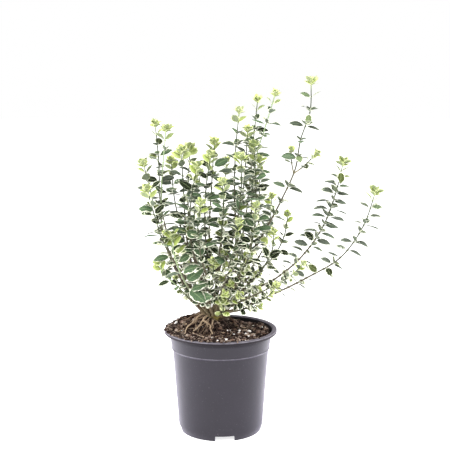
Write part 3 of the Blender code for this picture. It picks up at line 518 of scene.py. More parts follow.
def set_sprigs(stem, others):
    """Sets a stem's sprigs on its lower part. One that would touch another stem is left out."""
    sprigs = []
    places = stem.pair_places()
    for step in range(stem.rule.sprigs):
        height = stem.rule.bare + SPRIG_GAP * (step + 0.3)
        number = min(range(len(places)), key=lambda n: abs(places[n] - height))
        for side, turn in itertools.product(stem.sides(number), (0, 25, -25, 50, -50)):
            sprig = sprig_from(stem, number, side, turn)
            shell = stems_tree([sprig])
            if (number, side) not in stem.twigs and not any(shell.overlap(other) for other in others):
                stem.twigs[number, side] = sprig
                others.append(shell)
                sprigs.append(sprig)
                break
    return sprigs


def grown_shoots():
    """Every shoot with its stems, the main stem first. The longest leaves are set first."""
    shoots = []
    for shoot, line in zip(SHOOTS, stem_lines()):
        main_stem = Stem(line, shoot, STEM_FOOT, (0, 1, 0))
        shoots.append((shoot, [main_stem, *(twig_of(main_stem, rule) for rule in shoot.twigs)]))
    stem_trees = [stems_tree(stems) for _, stems in shoots]
    sprig_trees = [tree([ground_shell()])]
    for number, (_, stems) in enumerate(shoots):
        foreign = [other for i, other in enumerate(stem_trees) if i != number]
        stems += set_sprigs(stems[0], [*foreign, *sprig_trees])
        sprig_trees += [stems_tree([stem]) for stem in stems[1:]]
    stem_trees = [stems_tree(stems) for _, stems in shoots]
    others = [tree([ground_shell()])]
    for number, (shoot, stems) in sorted(enumerate(shoots), key=lambda item: -item[1][0].leaf[1]):
        chances = np.random.default_rng(FIRST_DRAW + number)
        foreign = [other for i, other in enumerate(stem_trees) if i != number]
        placed = []
        for stem in stems:
            own = [stems_tree([other]) for other in stems if other is not stem]
            placed += set_leaves(stem, chances, own, [*others, *foreign, *placed])
        others.append(tree([leaf_shell(leaf) for stem in stems for leaf in stem.leaves.values()]))
    return shoots


# Surfaces. Each is a closed skin worked out as whole arrays.


class Skin(NamedTuple):
    """Corners (n, 3), faces as a list of index arrays, and marks: three numbers a corner, by name."""

    corners: np.ndarray
    faces: list
    marks: dict


def closed_skin(rings, poles, **marks):
    """Closed surfaces from rings of points, shaped (shapes, rows, around, 3), and two poles a shape.

    Rings are joined by quads, and the first and the last ring to their pole by triangles. The rings
    run anticlockwise seen from the end. A pole takes the mean of the marks beside it.
    """
    shapes, rows, around = rings.shape[:3]
    row, step = np.meshgrid(np.arange(rows - 1), np.arange(around), indexing="ij")
    beside = (step + 1) % around
    quads = np.stack([row * around + step, row * around + beside,
                      (row + 1) * around + beside, (row + 1) * around + step], axis=-1).reshape(-1, 4)
    step, beside, last = step[0], beside[0], (rows - 1) * around
    first_pole = np.full(around, rows * around)
    ends = np.concatenate([np.stack([first_pole, beside, step], axis=-1),
                           np.stack([first_pole + 1, last + step, last + beside], axis=-1)])
    start = np.arange(shapes)[:, None, None] * (rows * around + 2)
    corners = np.concatenate([rings.reshape(shapes, -1, 3), poles], axis=1)
    spread = {}
    for name, values in marks.items():
        values = np.broadcast_to(values, rings.shape)
        at_poles = values[:, [0, -1]].mean(axis=2)
        spread[name] = np.concatenate([values.reshape(shapes, -1, 3), at_poles], axis=1).reshape(-1, 3)
    faces = [(quads + start).reshape(-1, 4), (ends + start).reshape(-1, 3)]
    return Skin(corners.reshape(-1, 3), faces, spread)


def joined(skins):
    """Several skins as one."""
    starts = np.cumsum([0] + [len(skin.corners) for skin in skins[:-1]])
    return Skin(
        np.concatenate([skin.corners for skin in skins]),
        [faces + start for skin, start in zip(skins, starts) for faces in skin.faces],
        {name: np.concatenate([skin.marks[name] for skin in skins]) for name in skins[0].marks},
    )


def add_object(name, data):
    """A new object of the scene, at the origin."""
    obj = bpy.data.objects.new(name, data)
    bpy.context.scene.collection.objects.link(obj)
    return obj


def add_piece(name, skin, paint, slot, *nodes):
    """A piece of the plant from a skin. It rides on the only body and stands for the named nodes."""
    mesh = bpy.data.meshes.new(name)
    faces = itertools.chain.from_iterable(faces.tolist() for faces in skin.faces)
    mesh.from_pydata((skin.corners * MM).tolist(), [], list(faces))
    for mark, values in skin.marks.items():
        attribute = mesh.attributes.new(mark, "FLOAT_VECTOR", "POINT")
        attribute.data.foreach_set("vector", values.astype(np.float32).ravel())
    mesh.materials.append(paint)
    mesh.shade_smooth()
    obj = add_object(name, mesh)
    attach(obj, "root")
    if nodes:
        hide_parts(*nodes)
    return obj


def noise(points, size, seed):
    """Smooth noise from -1 to 1: random values on a lattice of that size, blended between its corners."""
    values = np.random.default_rng(seed).uniform(-1, 1, (16, 16, 16))
    low = np.floor(points / size).astype(int)
    t = points / size - low
    t = t * t * (3 - 2 * t)
    total = np.zeros(points.shape[:-1])
    for corner in itertools.product((0, 1), repeat=3):
        weight = np.prod(np.where(corner, t, 1 - t), axis=-1)
        total += weight * values[tuple(np.moveaxis((low + corner) % 16, -1, 0))]
    return total


def round_angles(count):
    """Angles of points spread evenly round a circle."""
    return 2 * math.pi * np.arange(count) / count


def ramp(value, start, end):
    """How far a value is on the way from start to end, from 0 to 1."""
    return np.clip((value - start) / (end - start), 0, 1)


def around_axis(radius, height, angle, middle=(0, 0)):
    """Points round an upright axis: x and y go as the angle's cosine and sine times the radius."""
    x, y = middle[0] + radius * np.cos(angle), middle[1] + radius * np.sin(angle)
    return np.stack([x, y, height + 0 * x], axis=-1)


def tube(line, half, sides, reference, **marks):
    """A round tube: each ring is a circle square to the line, of the half thickness given there."""
    ahead = np.gradient(line, axis=0)
    ahead /= np.linalg.norm(ahead, axis=1, keepdims=True)
    v = reference - ahead * (ahead @ reference)[:, None]
    v /= np.linalg.norm(v, axis=1, keepdims=True)
    u = np.cross(v, ahead)
    angle = round_angles(sides)[:, None]
    circle = np.cos(angle) * u[:, None] + np.sin(angle) * v[:, None]
    rings = line[:, None] + np.broadcast_to(half, len(line))[:, None, None] * circle
    spread = {name: values[None, :, None] for name, values in marks.items()}
    return closed_skin(rings[None], np.array([[line[0], line[-1]]]), **spread)


# Leaves and stems


# The blade, as a share of the leaf's length or in mm
GROWTH = 1.08  # grown leaves are longer than in the frame by this factor
STALK = 0.10  # the share of a leaf's length that is its stalk
STALK_TO = 0.28  # where along a leaf the stalk's thickness ends
STALK_HALF = 0.45
BLADE_HALF = 0.16
LEAF_ROWS = (-0.03, 0.06, 0.12, 0.21, 0.36, 0.54, 0.72, 0.88)  # places of its rings
LEAF_ACROSS = (1, 0.4, -0.4, -1, -0.4, 0.4)  # places of the points round a ring, from margin to margin
LEAF_FACE = (0, 1, 1, 0, -1, -1)  # which face each is on: 1 on the upper one
BASE_POWER, TIP_POWER = 0.62, 0.72
SLIMMEST, BROADEST = 0.9, 1.25  # a blade's breadth varies between these shares
YOUNG_BREADTH = 1.3  # young leaves are broader than grown ones by this factor
FOLD = (0.26, 0.12)  # how far it rises from its midrib, and how much that varies: shares of half its width
CUP = (0.14, 0.12)  # how far it bends back, and how much that varies
RIPPLE = 0.022  # height of its margin's waves, as a share of its length
TWIST = 0.5  # radians over its length, at most
SMALL_LOW = (270.0, 205.0)  # between these heights smaller leaves lose SMALL_LOSS of their length
SMALL_LOSS = 0.22

# Its tones and its margin
BROAD_FROM = 21.0  # mm, the length past which a leaf is paler than the rest, and its margin thin
BROAD_PALE = 0.3  # how much paler, for each mm
HIGH_TOP = (330.0, 410.0)  # between these heights leaves get paler, by HIGH_PALE
HIGH_PALE = 0.8
DARK_RIGHT = (-10.0, 25.0)  # between these x the small low leaves get darker
WIDE_EDGE = (320.0, 210.0)  # between these heights the margins of lower leaves get wider, by EDGE_GAIN
EDGE_GAIN = 0.5
UNEVEN_EDGE = 0.5  # how far the margin of one leaf differs in width from the next
GROWN_HALF = 4.2  # the margin of a blade with a smaller half breadth is narrower, in proportion

# Small leaves: pairs at a tip as (mm back from it, rise, size, first side), buds, and leaves at the foot
TIP_PAIRS = ((4.5, 32, 1.1, 0), (3.0, 46, 1.15, 1), (1.4, 60, 1.0, 0), (0.4, 74, 0.75, 1))
AXIL_FROM = 34.0  # mm from the tip, below which buds grow in the leaves' angles
AXIL_SHARES = (-40.0, 0.3), (40.0, 0.7)  # (x, share of the angles with buds): more at the right
AXIL_HEIGHTS = (230.0, 0.25), (280.0, 1.5)  # (height, factor of that share)
AXIL_LEAN, AXIL_STRAY = 55, 12  # degrees between a bud's leaf and the grown leaf under it, and their stray
AXIL_RISE, AXIL_LENGTH = (24, 58), (8, 15)
FOOT_LEAVES = (22.0, 62.0, 7.0)  # first, last and step along a stem's foot, mm
FOOT_SHARE = 0.28  # of these places have leaves
FOOT_RISE, FOOT_LENGTH = (15, 55), (9, 17)

# What is particular to some shoots
PALE_STEMS = ("shoot_high_back", "shoot_high_left", "shoot_broad_leaves", "shoot_left_low")
DULL_LEAVES = {"shoot_arching_right": 0.7, "shoot_low_right": 0.7, "shoot_tall_right": 0.35}  # 1 is grey
TURNED_LEAVES = {"shoot_left_low": 0.8}  # how far they turn to face forwards
YOUNG_LEAVES = {"shoot_crown_tuft": 0.45}  # the share that is left of their age
FORWARDS = np.array((0, -0.9, 0.45))
# Single leaves that face forwards: (mm along the shoot's stem, direction, length, age).
FORWARD_LEAVES = {
    "shoot_broad_leaves": ((63, (0.72, -0.45, -0.5), 27, 1), (118, (0.93, -0.3, 0.1), 18, 0.38)),
    "shoot_arching_right": ((258, (-0.1, -0.5, -0.8), 16, 0.55), (161, (-0.6, -0.3, 0.6), 18, 0.7)),
    "shoot_low_right": ((143, (-0.7, -0.4, 0.6), 19, 0.5), (156, (0.3, -0.6, -0.5), 15, 0.6)),
    "shoot_tall_right": ((288, (-0.2, -0.5, -0.7), 15, 0.36), (232, (0.1, -0.7, -0.3), 15, 0.36),
                         (113, (0.3, -0.6, -0.3), 16, 0.3)),
    "shoot_right_low_a": ((113, (-0.35, -0.3, 0.8), 19, 0.8), (113, (0.65, -0.3, 0.5), 19, 0.8)),
    "shoot_far_left_top": ((219, (-0.9, -0.3, 0.1), 15, 0.4),),
}

# Stems
STEM_GROWTH = 1.06  # stems are thicker than in the frame by this factor
NODE_SWELL, NODE_SPAN = 0.28, 1.7  # how much a stem swells at a leaf pair, and over how many mm
# Below its seat a stem runs on into the crown: depth, mm, and how much thicker it is there.
STEM_FLARE = ((9.0, 1.35), (6.0, 1.2), (3.0, 1.1))
FLARE_REACH = 22.0  # mm of depth at which it would meet the crown's axis


def small_leaf(stem, along, side, turn, rise, length, age):
    """A leaf that stands up from the stem at an angle to it."""
    ahead, middle, _, _ = stem.section(along)
    away = stem.away(along, side, turn)
    angle = math.radians(rise)
    outward = away * math.cos(angle) + ahead * math.sin(angle)
    up = ahead * math.cos(angle) - away * math.sin(angle)
    return Leaf(middle, outward, up, length, age)


def tip_leaves(stem, chances):
    """Crossed pairs of small leaves that close a shoot's growing tip, each pair steeper than the last."""
    leaves = []
    for back, rise, size, first in TIP_PAIRS:
        for side in (first, first + 2):
            length = stem.rule.leaf[0] * size * chances.uniform(0.8, 1.15)
            leaves.append(small_leaf(stem, stem.length - back, side, stem.rule.turn + 45,
                                     rise + chances.uniform(-10, 10), length, 0.0))
    return leaves


def axil_leaves(stem, chances):
    """Buds in the angles of grown leaves: a pair of small leaves that stands close to the stem."""
    leaves = []
    for number, along in enumerate(stem.pair_places()):
        x, _, height = stem.section(along)[1]
        share = np.interp(x, *zip(*AXIL_SHARES)) * np.interp(height, *zip(*AXIL_HEIGHTS))
        for side in stem.sides(number):
            grows, turn, rise, size = chances.uniform(0, 1, 4)
            if stem.length - along > AXIL_FROM and grows < share and (number, side) not in stem.twigs:
                for lean in (-AXIL_LEAN, AXIL_LEAN):
                    turned_by = stem.rule.turn + lean + 2 * AXIL_STRAY * turn - AXIL_STRAY
                    leaves.append(small_leaf(stem, along + 1.5, side, turned_by,
                                             between(AXIL_RISE, rise), between(AXIL_LENGTH, size), 0.5))
    return leaves


def foot_leaves(stem, chances):
    """Small leaves in pairs on the foot of a stem, below its first grown pair. None hangs down."""
    leaves = []
    first, last, step = FOOT_LEAVES
    for along in np.arange(first, min(last, stem.rule.bare), step):
        grows, turn, rise, size = chances.uniform(0, 1, 4)
        if grows < FOOT_SHARE:
            rise, length = between(FOOT_RISE, rise), between(FOOT_LENGTH, size)
            leaves += [small_leaf(stem, along, side, 180 * turn, rise, length, 0.7) for side in (0, 2)]
    return [leaf for leaf in leaves if leaf.outward[2] > 0]


def facing(leaf, share):
    """A leaf, turned about its midrib so that its upper face looks more forwards."""
    up = leaf.up + share * FORWARDS
    return leaf._replace(up=unit(up - leaf.outward * (leaf.outward @ up)))


def forward_leaves(stem, rows):
    """Single leaves, each turned so that its upper face looks forwards and a little up."""
    for along, direction, length, age in rows:
        outward = unit(np.array(direction))
        yield facing(Leaf(stem.section(along)[1], outward, 0 * outward, length, age), 1)


def grid_marks(shape, *values):
    """Three values as three numbers for each point of a grid."""
    return np.stack([np.broadcast_to(value[..., 0], shape) for value in values], axis=-1)


def blade_profile(s):
    """Half width along s, as a share of the widest: t^0.62 (1 - t)^0.72, where t runs over the blade."""
    t = np.clip((s - STALK) / (1 - STALK), 0, 1)
    widest = BASE_POWER / (BASE_POWER + TIP_POWER)
    return (t / widest) ** BASE_POWER * ((1 - t) / (1 - widest)) ** TIP_POWER


def leaf_tone(root, length, small, chance):
    """How pale each leaf is, -1 to 1: broad and high ones more, small low ones at the right less."""
    chance = chance - small * ramp(root[..., :1], *DARK_RIGHT)
    broad = BROAD_PALE * np.maximum(0, length - BROAD_FROM)
    return np.clip(chance + broad + HIGH_PALE * ramp(root[..., 2:], *HIGH_TOP), -1, 1)


def green_depth(v, half, widest, length, height, chance):
    """Distance to the margin, mm, scaled to make a leaf's cream edge wider or narrower.

    The edge is narrower in proportion on small blades, and wider low in the bush, but not on broad leaves.
    """
    widened = ramp(height, *WIDE_EDGE) * ramp(length, BROAD_FROM + 3, BROAD_FROM)
    depth = (1 - abs(v)) * half * np.maximum(1, GROWN_HALF / widest)
    return depth * (1 + UNEVEN_EDGE * chance) / (1 + EDGE_GAIN * widened)


def leaf_skin(leaves, chances, dull):
    """Leaves as thin closed surfaces, over s along the midrib and v across, from margin to margin.

    From the midrib the blade rises as |v|, bends back as v squared, and ripples with s along its
    margins as a sine. The midrib droops as in the frame, and the blade twists about it. The marks hold
    s, v and the depth of green, and the leaf's age, its tone, and how grey it is: 1 on its underside.
    """
    root, outward, up, across, length, age = (
        np.array([getattr(leaf, name) for leaf in leaves], float).reshape(len(leaves), 1, 1, -1)
        for name in ("root", "outward", "up", "across", "length", "age")
    )
    fold, cup, twist, ripple, tone, breadth = chances.uniform(-1, 1, (6, len(leaves), 1, 1, 1))
    height = root[..., 2:]
    small = ramp(height, *SMALL_LOW) * (length < BROAD_FROM)
    length = length * (1 + (GROWTH - 1 - SMALL_LOSS * small) * age)
    tone = leaf_tone(root, length, small, tone)
    s = np.array(LEAF_ROWS).reshape(1, -1, 1, 1)
    v = np.array(LEAF_ACROSS).reshape(1, 1, -1, 1)
    face = np.array(LEAF_FACE).reshape(1, 1, -1, 1)
    profile = blade_profile(s)
    slimness = LEAF_SLIMNESS * (YOUNG_BREADTH + (1 - YOUNG_BREADTH) * age)
    slimness = slimness * (SLIMMEST + (BROADEST - SLIMMEST) * (0.5 + 0.5 * breadth))
    widest = length * slimness / 2
    half = np.maximum(widest * profile, STALK_HALF * (s < STALK_TO))
    rise = half * ((FOLD[0] + FOLD[1] * fold) * abs(v) - (CUP[0] + CUP[1] * cup) * v**2)
    rise += RIPPLE * length * ripple * v * abs(v) * np.sin(11 * s + 7 * tone) * profile
    rise += face * (BLADE_HALF + STALK_HALF * np.exp(-((s / STALK) ** 2)))
    angle = TWIST * twist * (s - 0.3)
    side = across * np.cos(angle) + up * np.sin(angle)
    top = up * np.cos(angle) - across * np.sin(angle)

    def midrib(share):
        return root + length * (share * outward + droop(share) * up)

    rings = midrib(s) + half * v * side + rise * top
    tips = midrib(np.array((LEAF_ROWS[0], 1.0)).reshape(1, 2, 1, 1))[:, :, 0]
    depth = green_depth(v, half, widest, length, height, cup)
    grey = np.where(face < 0, 1, dull * age)
    return closed_skin(rings, tips, place=grid_marks(rings.shape[:3], s, v, depth),
                       kind=grid_marks(rings.shape[:3], age, 0.5 + 0.5 * tone, grey))


def stem_skin(stem):
    """A stem as a tube that thins towards its tip and swells a little at each leaf pair.

    Each swelling falls off as e to the minus square of the distance along the stem.
    """
    line = stem.line[::2]
    along = 2 * LINE_STEP * np.arange(len(line))
    half = stem.half(along)
    for place in stem.pair_places():
        half = half * (1 + NODE_SWELL * np.exp(-(((along - place) / NODE_SPAN) ** 2)))
    if stem.foot_half == STEM_FOOT:
        depth, thicker = np.array(STEM_FLARE).T
        inwards = np.array((*CROWN, line[0][2])) - line[0]
        below = line[0] + np.outer(depth / FLARE_REACH, inwards) - np.outer(depth, (0, 0, 1))
        line = np.concatenate([below, line])
        half = np.concatenate([half[[0, 0, 0]] * thicker, half])
        along = np.concatenate([-depth, along])
    wood = ramp(stem.length - along, 0, 0.7 * stem.length + 40)
    pale = float(stem.rule.name in PALE_STEMS)
    kind = np.stack([wood, np.full(len(line), pale), along / 100], axis=1)
    return tube(line, half * STEM_GROWTH, 8, stem.reference, kind=kind)


def add_shoots(paints):
    """Each shoot as two pieces: its stems and its leaves."""
    for number, (shoot, stems) in enumerate(grown_shoots()):
        chances = np.random.default_rng(100 + number)
        leaves = []
        for stem in stems:
            leaves += [*stem.leaves.values(), *tip_leaves(stem, chances), *axil_leaves(stem, chances)]
        leaves += foot_leaves(stems[0], chances)
        dull = [DULL_LEAVES.get(shoot.name, 0.0)] * len(leaves)
        leaves += forward_leaves(stems[0], FORWARD_LEAVES.get(shoot.name, ()))
        dull += [0.0] * (len(leaves) - len(dull))
        young, turn = YOUNG_LEAVES.get(shoot.name, 1), TURNED_LEAVES.get(shoot.name, 0)
        leaves = [facing(leaf._replace(age=leaf.age * young), turn) for leaf in leaves]
        skin = leaf_skin(leaves, chances, np.array(dull).reshape(-1, 1, 1, 1))
        add_piece(shoot.name + "_leaves", skin, paints["leaf"], "leaf", shoot.name)
        skin = joined([stem_skin(stem) for stem in stems])
        add_piece(shoot.name + "_stems", skin, paints["stem"], "leaf", shoot.name)


# Soil, crown and roots


SOIL_ROWS, SOIL_STEPS = 84, 220
# Hollows in the soil, and where the depth is below 0 a heap: (x, y, depth, spread in x, spread in y).
HOLLOWS = ((-21, -24, 7.5, 10, 9), (56, 6, -4.5, 18, 34))
CROWN_HEAP = (5.5, 23.0)  # height and radius of the soil heaped on the crown's edge
LUMPS = ((11, 1.1), (4.6, 0.9), (2.1, 0.55))  # their width and height
CRUMBS, FLAKES, SMALL_GRAINS = 1500, 260, 60
SPILT = 340  # crumbs on the lip
SPILT_MIDDLE, SPILT_SPREAD = 205.0, 38.0  # where they lie, degrees from +X
LOOSE_PERLITE = (  # x, y and size
    (31, -14, 1.7), (33, -20, 1.8), (44, -24, 1.5), (9, -15, 1.3), (16, -19, 1.4), (24, -18, 1.2),
    (44, 16, 1.2), (49, 33, 1.1), (-61, 6, 1.4), (12, -11, 1.1), (-4, -63, 1.2),
)
CROWN_SHARES = (1.0, 1.0, 0.97, 0.9, 0.8, 0.68, 0.55, 0.42, 0.3, 0.2, 0.1)  # of its radius, foot to peak
CROWN_SUNK = 9.0  # how deep its foot is in the soil
DOME_FOOT = SOIL_TOP - 1.5
SIDE_ROOTS, FIBRES = 16, 130
SIDE_ROOT_MIDDLE, SIDE_ROOT_SPREAD = 232.0, 36.0  # where side roots head, degrees from +X


def fine_height(x, y):
    """Height of the soil's top in detail: the frame's soil with hollows and three sizes of lumps.

    A hollow is its depth times a bell. The heap on the crown's edge is e to the minus fourth power of
    the distance, so its top is flat.
    """
    height = soil_height(x, y)
    for middle_x, middle_y, depth, *spreads in HOLLOWS:
        height = height - depth * bell(x - middle_x, y - middle_y, *spreads)
    from_crown = np.hypot(x - CROWN[0], y - CROWN[1])
    height = height + CROWN_HEAP[0] * np.exp(-((from_crown / CROWN_HEAP[1]) ** 4))
    flat = np.stack([x, y, np.zeros_like(x)], axis=-1)
    for size, amount in LUMPS:
        height = height + amount * noise(flat, size, int(10 * size))
    return height


def soil_skin():
    """The root ball: rings from the middle of its top outwards, down the pot's wall, and under it."""
    angle = round_angles(SOIL_STEPS)
    radius = np.linspace(0.8, SOIL_EDGE - 0.2, SOIL_ROWS)[:, None]
    top = around_axis(radius, 0, angle)
    top[..., 2] = fine_height(top[..., 0], top[..., 1])
    walls = ((55.0, 10.0), (62.3, 111.0), (SOIL_EDGE - 0.6, 124.0))
    below = [around_axis(wall_radius, height, angle) for wall_radius, height in walls]
    poles = [(0, 0, 10.0), (0, 0, float(fine_height(np.array(0.0), np.array(0.0))))]
    return closed_skin(np.concatenate([below, top[::-1]])[None], np.array([poles], float))


def random_frames(count, flatness, chances):
    """Turns about the upright axis, each followed by a tilt; flat things tilt less."""
    turn = chances.uniform(0, 2 * math.pi, count)
    tilt = chances.uniform(-1, 1, count) * (0.35 + 0.5 * flatness)
    zero, one = np.zeros(count), np.ones(count)
    cos, sin = np.cos(turn), np.sin(turn)
    around = np.array([[cos, -sin, zero], [sin, cos, zero], [zero, zero, one]])
    cos, sin = np.cos(tilt), np.sin(tilt)
    lean = np.array([[one, zero, zero], [zero, cos, -sin], [zero, sin, cos]])
    return np.einsum("ijn,jkn->nik", around, lean)


def crumb_skin(x, y, size, flatness, chances, lift=0.35):
    """Crumbs: round grids of 4 by 7 points with uneven radii, stretched, turned and sunk into the soil.

    A crumb's middle is at the soil's height plus lift times half its thickness.
    """
    count = len(x)
    polar = np.linspace(0.45, math.pi - 0.45, 4)[:, None]
    ball = around_axis(np.sin(polar), -np.cos(polar), round_angles(7))
    radii = 1 + 0.28 * chances.uniform(-1, 1, (count, 4, 7, 1))
    long, broad = chances.uniform(1.0, 1.7, count), chances.uniform(0.7, 1.0, count)
    stretch = np.stack([long, broad, flatness], axis=-1) * size[:, None]
    rings = ball * radii * stretch[:, None, None]
    ends = np.array([(0, 0, -0.95), (0, 0, 0.95)]) * stretch[:, None]
    frames = random_frames(count, flatness, chances)
    ground = np.where(np.hypot(x, y) > SOIL_EDGE, LIP_TOP, fine_height(x, y))
    middle = np.stack([x, y, ground + lift * size * flatness], axis=-1)
    rings = np.einsum("nij,nrsj->nrsi", frames, rings) + middle[:, None, None]
    ends = np.einsum("nij,nrj->nri", frames, ends) + middle[:, None]
    kind = np.stack([chances.uniform(0, 1, count) for _ in range(3)], axis=-1)[:, None, None]
    return closed_skin(rings, ends, kind=kind)


def scattered(count, chances, inner=0.0, outer=SOIL_EDGE - 2.5):
    """Places spread evenly over the soil between two radii."""
    radius = np.sqrt(chances.uniform(inner**2, outer**2, count))
    angle = chances.uniform(0, 2 * math.pi, count)
    return radius * np.cos(angle), radius * np.sin(angle)


def spilt_skin(chances):
    """Crumbs that lie on the lip, most of them where the soil is heaped against it."""
    angle = np.radians(SPILT_MIDDLE + SPILT_SPREAD * chances.normal(0, 1, SPILT))
    radius = SOIL_EDGE + (LIP_RADIUS - SOIL_EDGE - 1.0) * chances.uniform(0, 1, SPILT) ** 1.4
    size, flatness = chances.uniform(0.7, 1.9, SPILT), chances.uniform(0.5, 0.9, SPILT)
    return crumb_skin(radius * np.cos(angle), radius * np.sin(angle), size, flatness, chances, 0.3)


def add_soil(paints):
    """The soil's surface, the crumbs on it and on the lip, and flakes of bark."""
    add_piece("soil_surface", soil_skin(), paints["soil"], "soil", "soil")
    chances = np.random.default_rng(7)
    x, y = scattered(CRUMBS, chances)
    size = np.minimum(chances.gamma(3.0, 0.33, CRUMBS) + 0.45, 3.2)
    crumbs = crumb_skin(x, y, size, chances.uniform(0.5, 0.9, CRUMBS), chances)
    add_piece("soil_crumbs", joined([crumbs, spilt_skin(chances)]), paints["crumb"], "soil")
    x, y = scattered(FLAKES, chances)
    size, flatness = chances.uniform(1.2, 3.4, FLAKES), chances.uniform(0.12, 0.3, FLAKES)
    add_piece("bark_flakes", crumb_skin(x, y, size, flatness, chances, 1.2), paints["bark"], "bark")


def add_chips(paints):
    """The larger bark chips, each as a rough flat crumb in its frame node's box."""
    chances = np.random.default_rng(8)
    for number, (x, y, size) in enumerate(BARK_CHIPS, 1):
        x, y, size, flatness = np.array([[x], [y], [size * 0.8], [0.25]])
        chip = crumb_skin(x, y, size, flatness, chances, 1.6)
        add_piece(f"bark_chip_{number}_rough", chip, paints["bark"], "bark", f"bark_chip_{number}")


def add_perlite(paints):
    """White grains: those of the frame and a spread of crumbs broken off them."""
    chances = np.random.default_rng(9)
    x, y, size = (np.array(values, float) for values in zip(*PERLITE, *LOOSE_PERLITE))
    more_x, more_y = scattered(SMALL_GRAINS, chances)
    x, y = np.concatenate([x, more_x]), np.concatenate([y, more_y])
    size = np.concatenate([size, chances.uniform(0.4, 1.1, SMALL_GRAINS)])
    grains = crumb_skin(x, y, size * 0.95, np.full(len(x), 0.85), chances, 0.75)
    nodes = [f"perlite_{number}" for number in range(1, len(PERLITE) + 1)]
    add_piece("perlite_grains", grains, paints["perlite"], "perlite", *nodes)


def dome_height(share):
    """Height of the crown's dome at a share of its radius from its middle: a squashed ball."""
    return DOME_FOOT + CROWN_RISE * np.sqrt(np.maximum(0, 1 - share**2))


def crown_skin():
    """The woody crown: a low round dome with knobs, from its foot in the soil to its peak.

    Its radius waves with 3 and 7 turns of a sine, and noise lifts the knobs.
    """
    angle = round_angles(60)
    share = np.array(CROWN_SHARES)[:, None]
    radius = CROWN_RADIUS * share * (1 + 0.06 * np.sin(3 * angle + 1) + 0.04 * np.sin(7 * angle))
    sunk = np.where(np.arange(len(share)) == 0, CROWN_SUNK, 0.0)[:, None]
    points = around_axis(radius, dome_height(share) - sunk, angle, CROWN)
    points[..., 2] += 1.3 * noise(points, 5.5, 4) * (sunk == 0)
    peak = (*CROWN, SOIL_TOP - 1.0 + CROWN_RISE)
    return closed_skin(points[None], np.array([[(*CROWN, SOIL_TOP - 12), peak]]))


def root_height(x, y):
    """Height of what a root lies on: the soil, or the crown's dome near its middle."""
    share = np.hypot(x - CROWN[0], y - CROWN[1]) / CROWN_RADIUS
    soil = fine_height(x, y)
    return np.where(share < 1, np.maximum(soil, dome_height(share)), soil)


def smoothed(values):
    """Heights evened out along a line, so that a root bridges the gaps between lumps."""
    padded = np.pad(values, 4, mode="edge")
    near = np.stack([padded[shift : shift + len(values)] for shift in range(9)])
    return near[::2].max(axis=0) * 0.5 + near.mean(axis=0) * 0.5


def root_skin(half, route, chances, waver=2.2):
    """A root over the soil: it wavers, thins to its end and dips in and out of the soil's top."""
    line = smooth_line([(x, y, 0) for x, y in route])[::2]
    along = np.arange(len(line)) / (len(line) - 1)
    wandering = np.stack([along * 7, 0 * along, 0 * along], axis=1) + chances.uniform(0, 90)
    line[:, :2] += waver * noise(wandering, 1.0, 3)[:, None] * np.array([0.8, 0.6])
    line[:, 2] = smoothed(root_height(line[:, 0], line[:, 1])) + half * (1.1 - 1.2 * along)
    thickness = half * (1.25 - 0.75 * along) * (1 + 0.12 * np.sin(40 * along + half))
    kind = np.stack([along, np.full(len(line), chances.uniform()), along * len(line) / 50], axis=1)
    return tube(line, thickness, 8, np.array((0.02, 0.01, 1.0)), kind=kind)


def ray(angle):
    """Unit steps in x and y at each angle."""
    return np.stack([np.cos(angle), np.sin(angle)], axis=1)


def side_root_skin(chances):
    """A thinner root that runs out from the crown, most often to the front left, and bends once."""
    heading = math.radians(SIDE_ROOT_MIDDLE + SIDE_ROOT_SPREAD * chances.normal())
    reach = chances.uniform(18, 46)
    steps = np.linspace(0, 1, 5)
    bent = heading + chances.uniform(-0.8, 0.8) * steps
    start = CROWN_RADIUS * chances.uniform(0.6, 1.1)
    path = np.array(CROWN) + (start + reach * steps)[:, None] * ray(bent)
    path *= np.minimum(1, (SOIL_EDGE - 4) / np.hypot(*path.T))[:, None]
    return root_skin(chances.uniform(0.22, 0.55), path, chances, 2.4)


def add_roots(paints):
    """The frame's roots with bark, then side roots and short fibres over the soil, as one piece."""
    chances = np.random.default_rng(10)
    for name, half, route in ROOTS:
        from_crown = np.array(CROWN) + 0.5 * (np.array(route[0]) - CROWN)
        skin = root_skin(half, (from_crown, *route), chances)
        add_piece(name + "_bark", skin, paints["root"], "root", name)
    fibres = [side_root_skin(chances) for _ in range(SIDE_ROOTS)]
    for x, y in zip(*scattered(FIBRES, chances, 14.0, SOIL_EDGE - 7)):
        steps = np.linspace(0, 1, 4)
        turn, reach = chances.uniform(0, 2 * math.pi), chances.uniform(5, 16)
        heading = turn + chances.uniform(-0.9, 0.9) * steps
        path = np.array((x, y)) + (reach * steps)[:, None] * ray(heading)
        if np.hypot(*path.T).max() < SOIL_EDGE - 3:
            fibres.append(root_skin(chances.uniform(0.18, 0.42), path, chances, 0.8))
    add_piece("root_fibres", joined(fibres), paints["root"], "root")


# The pot


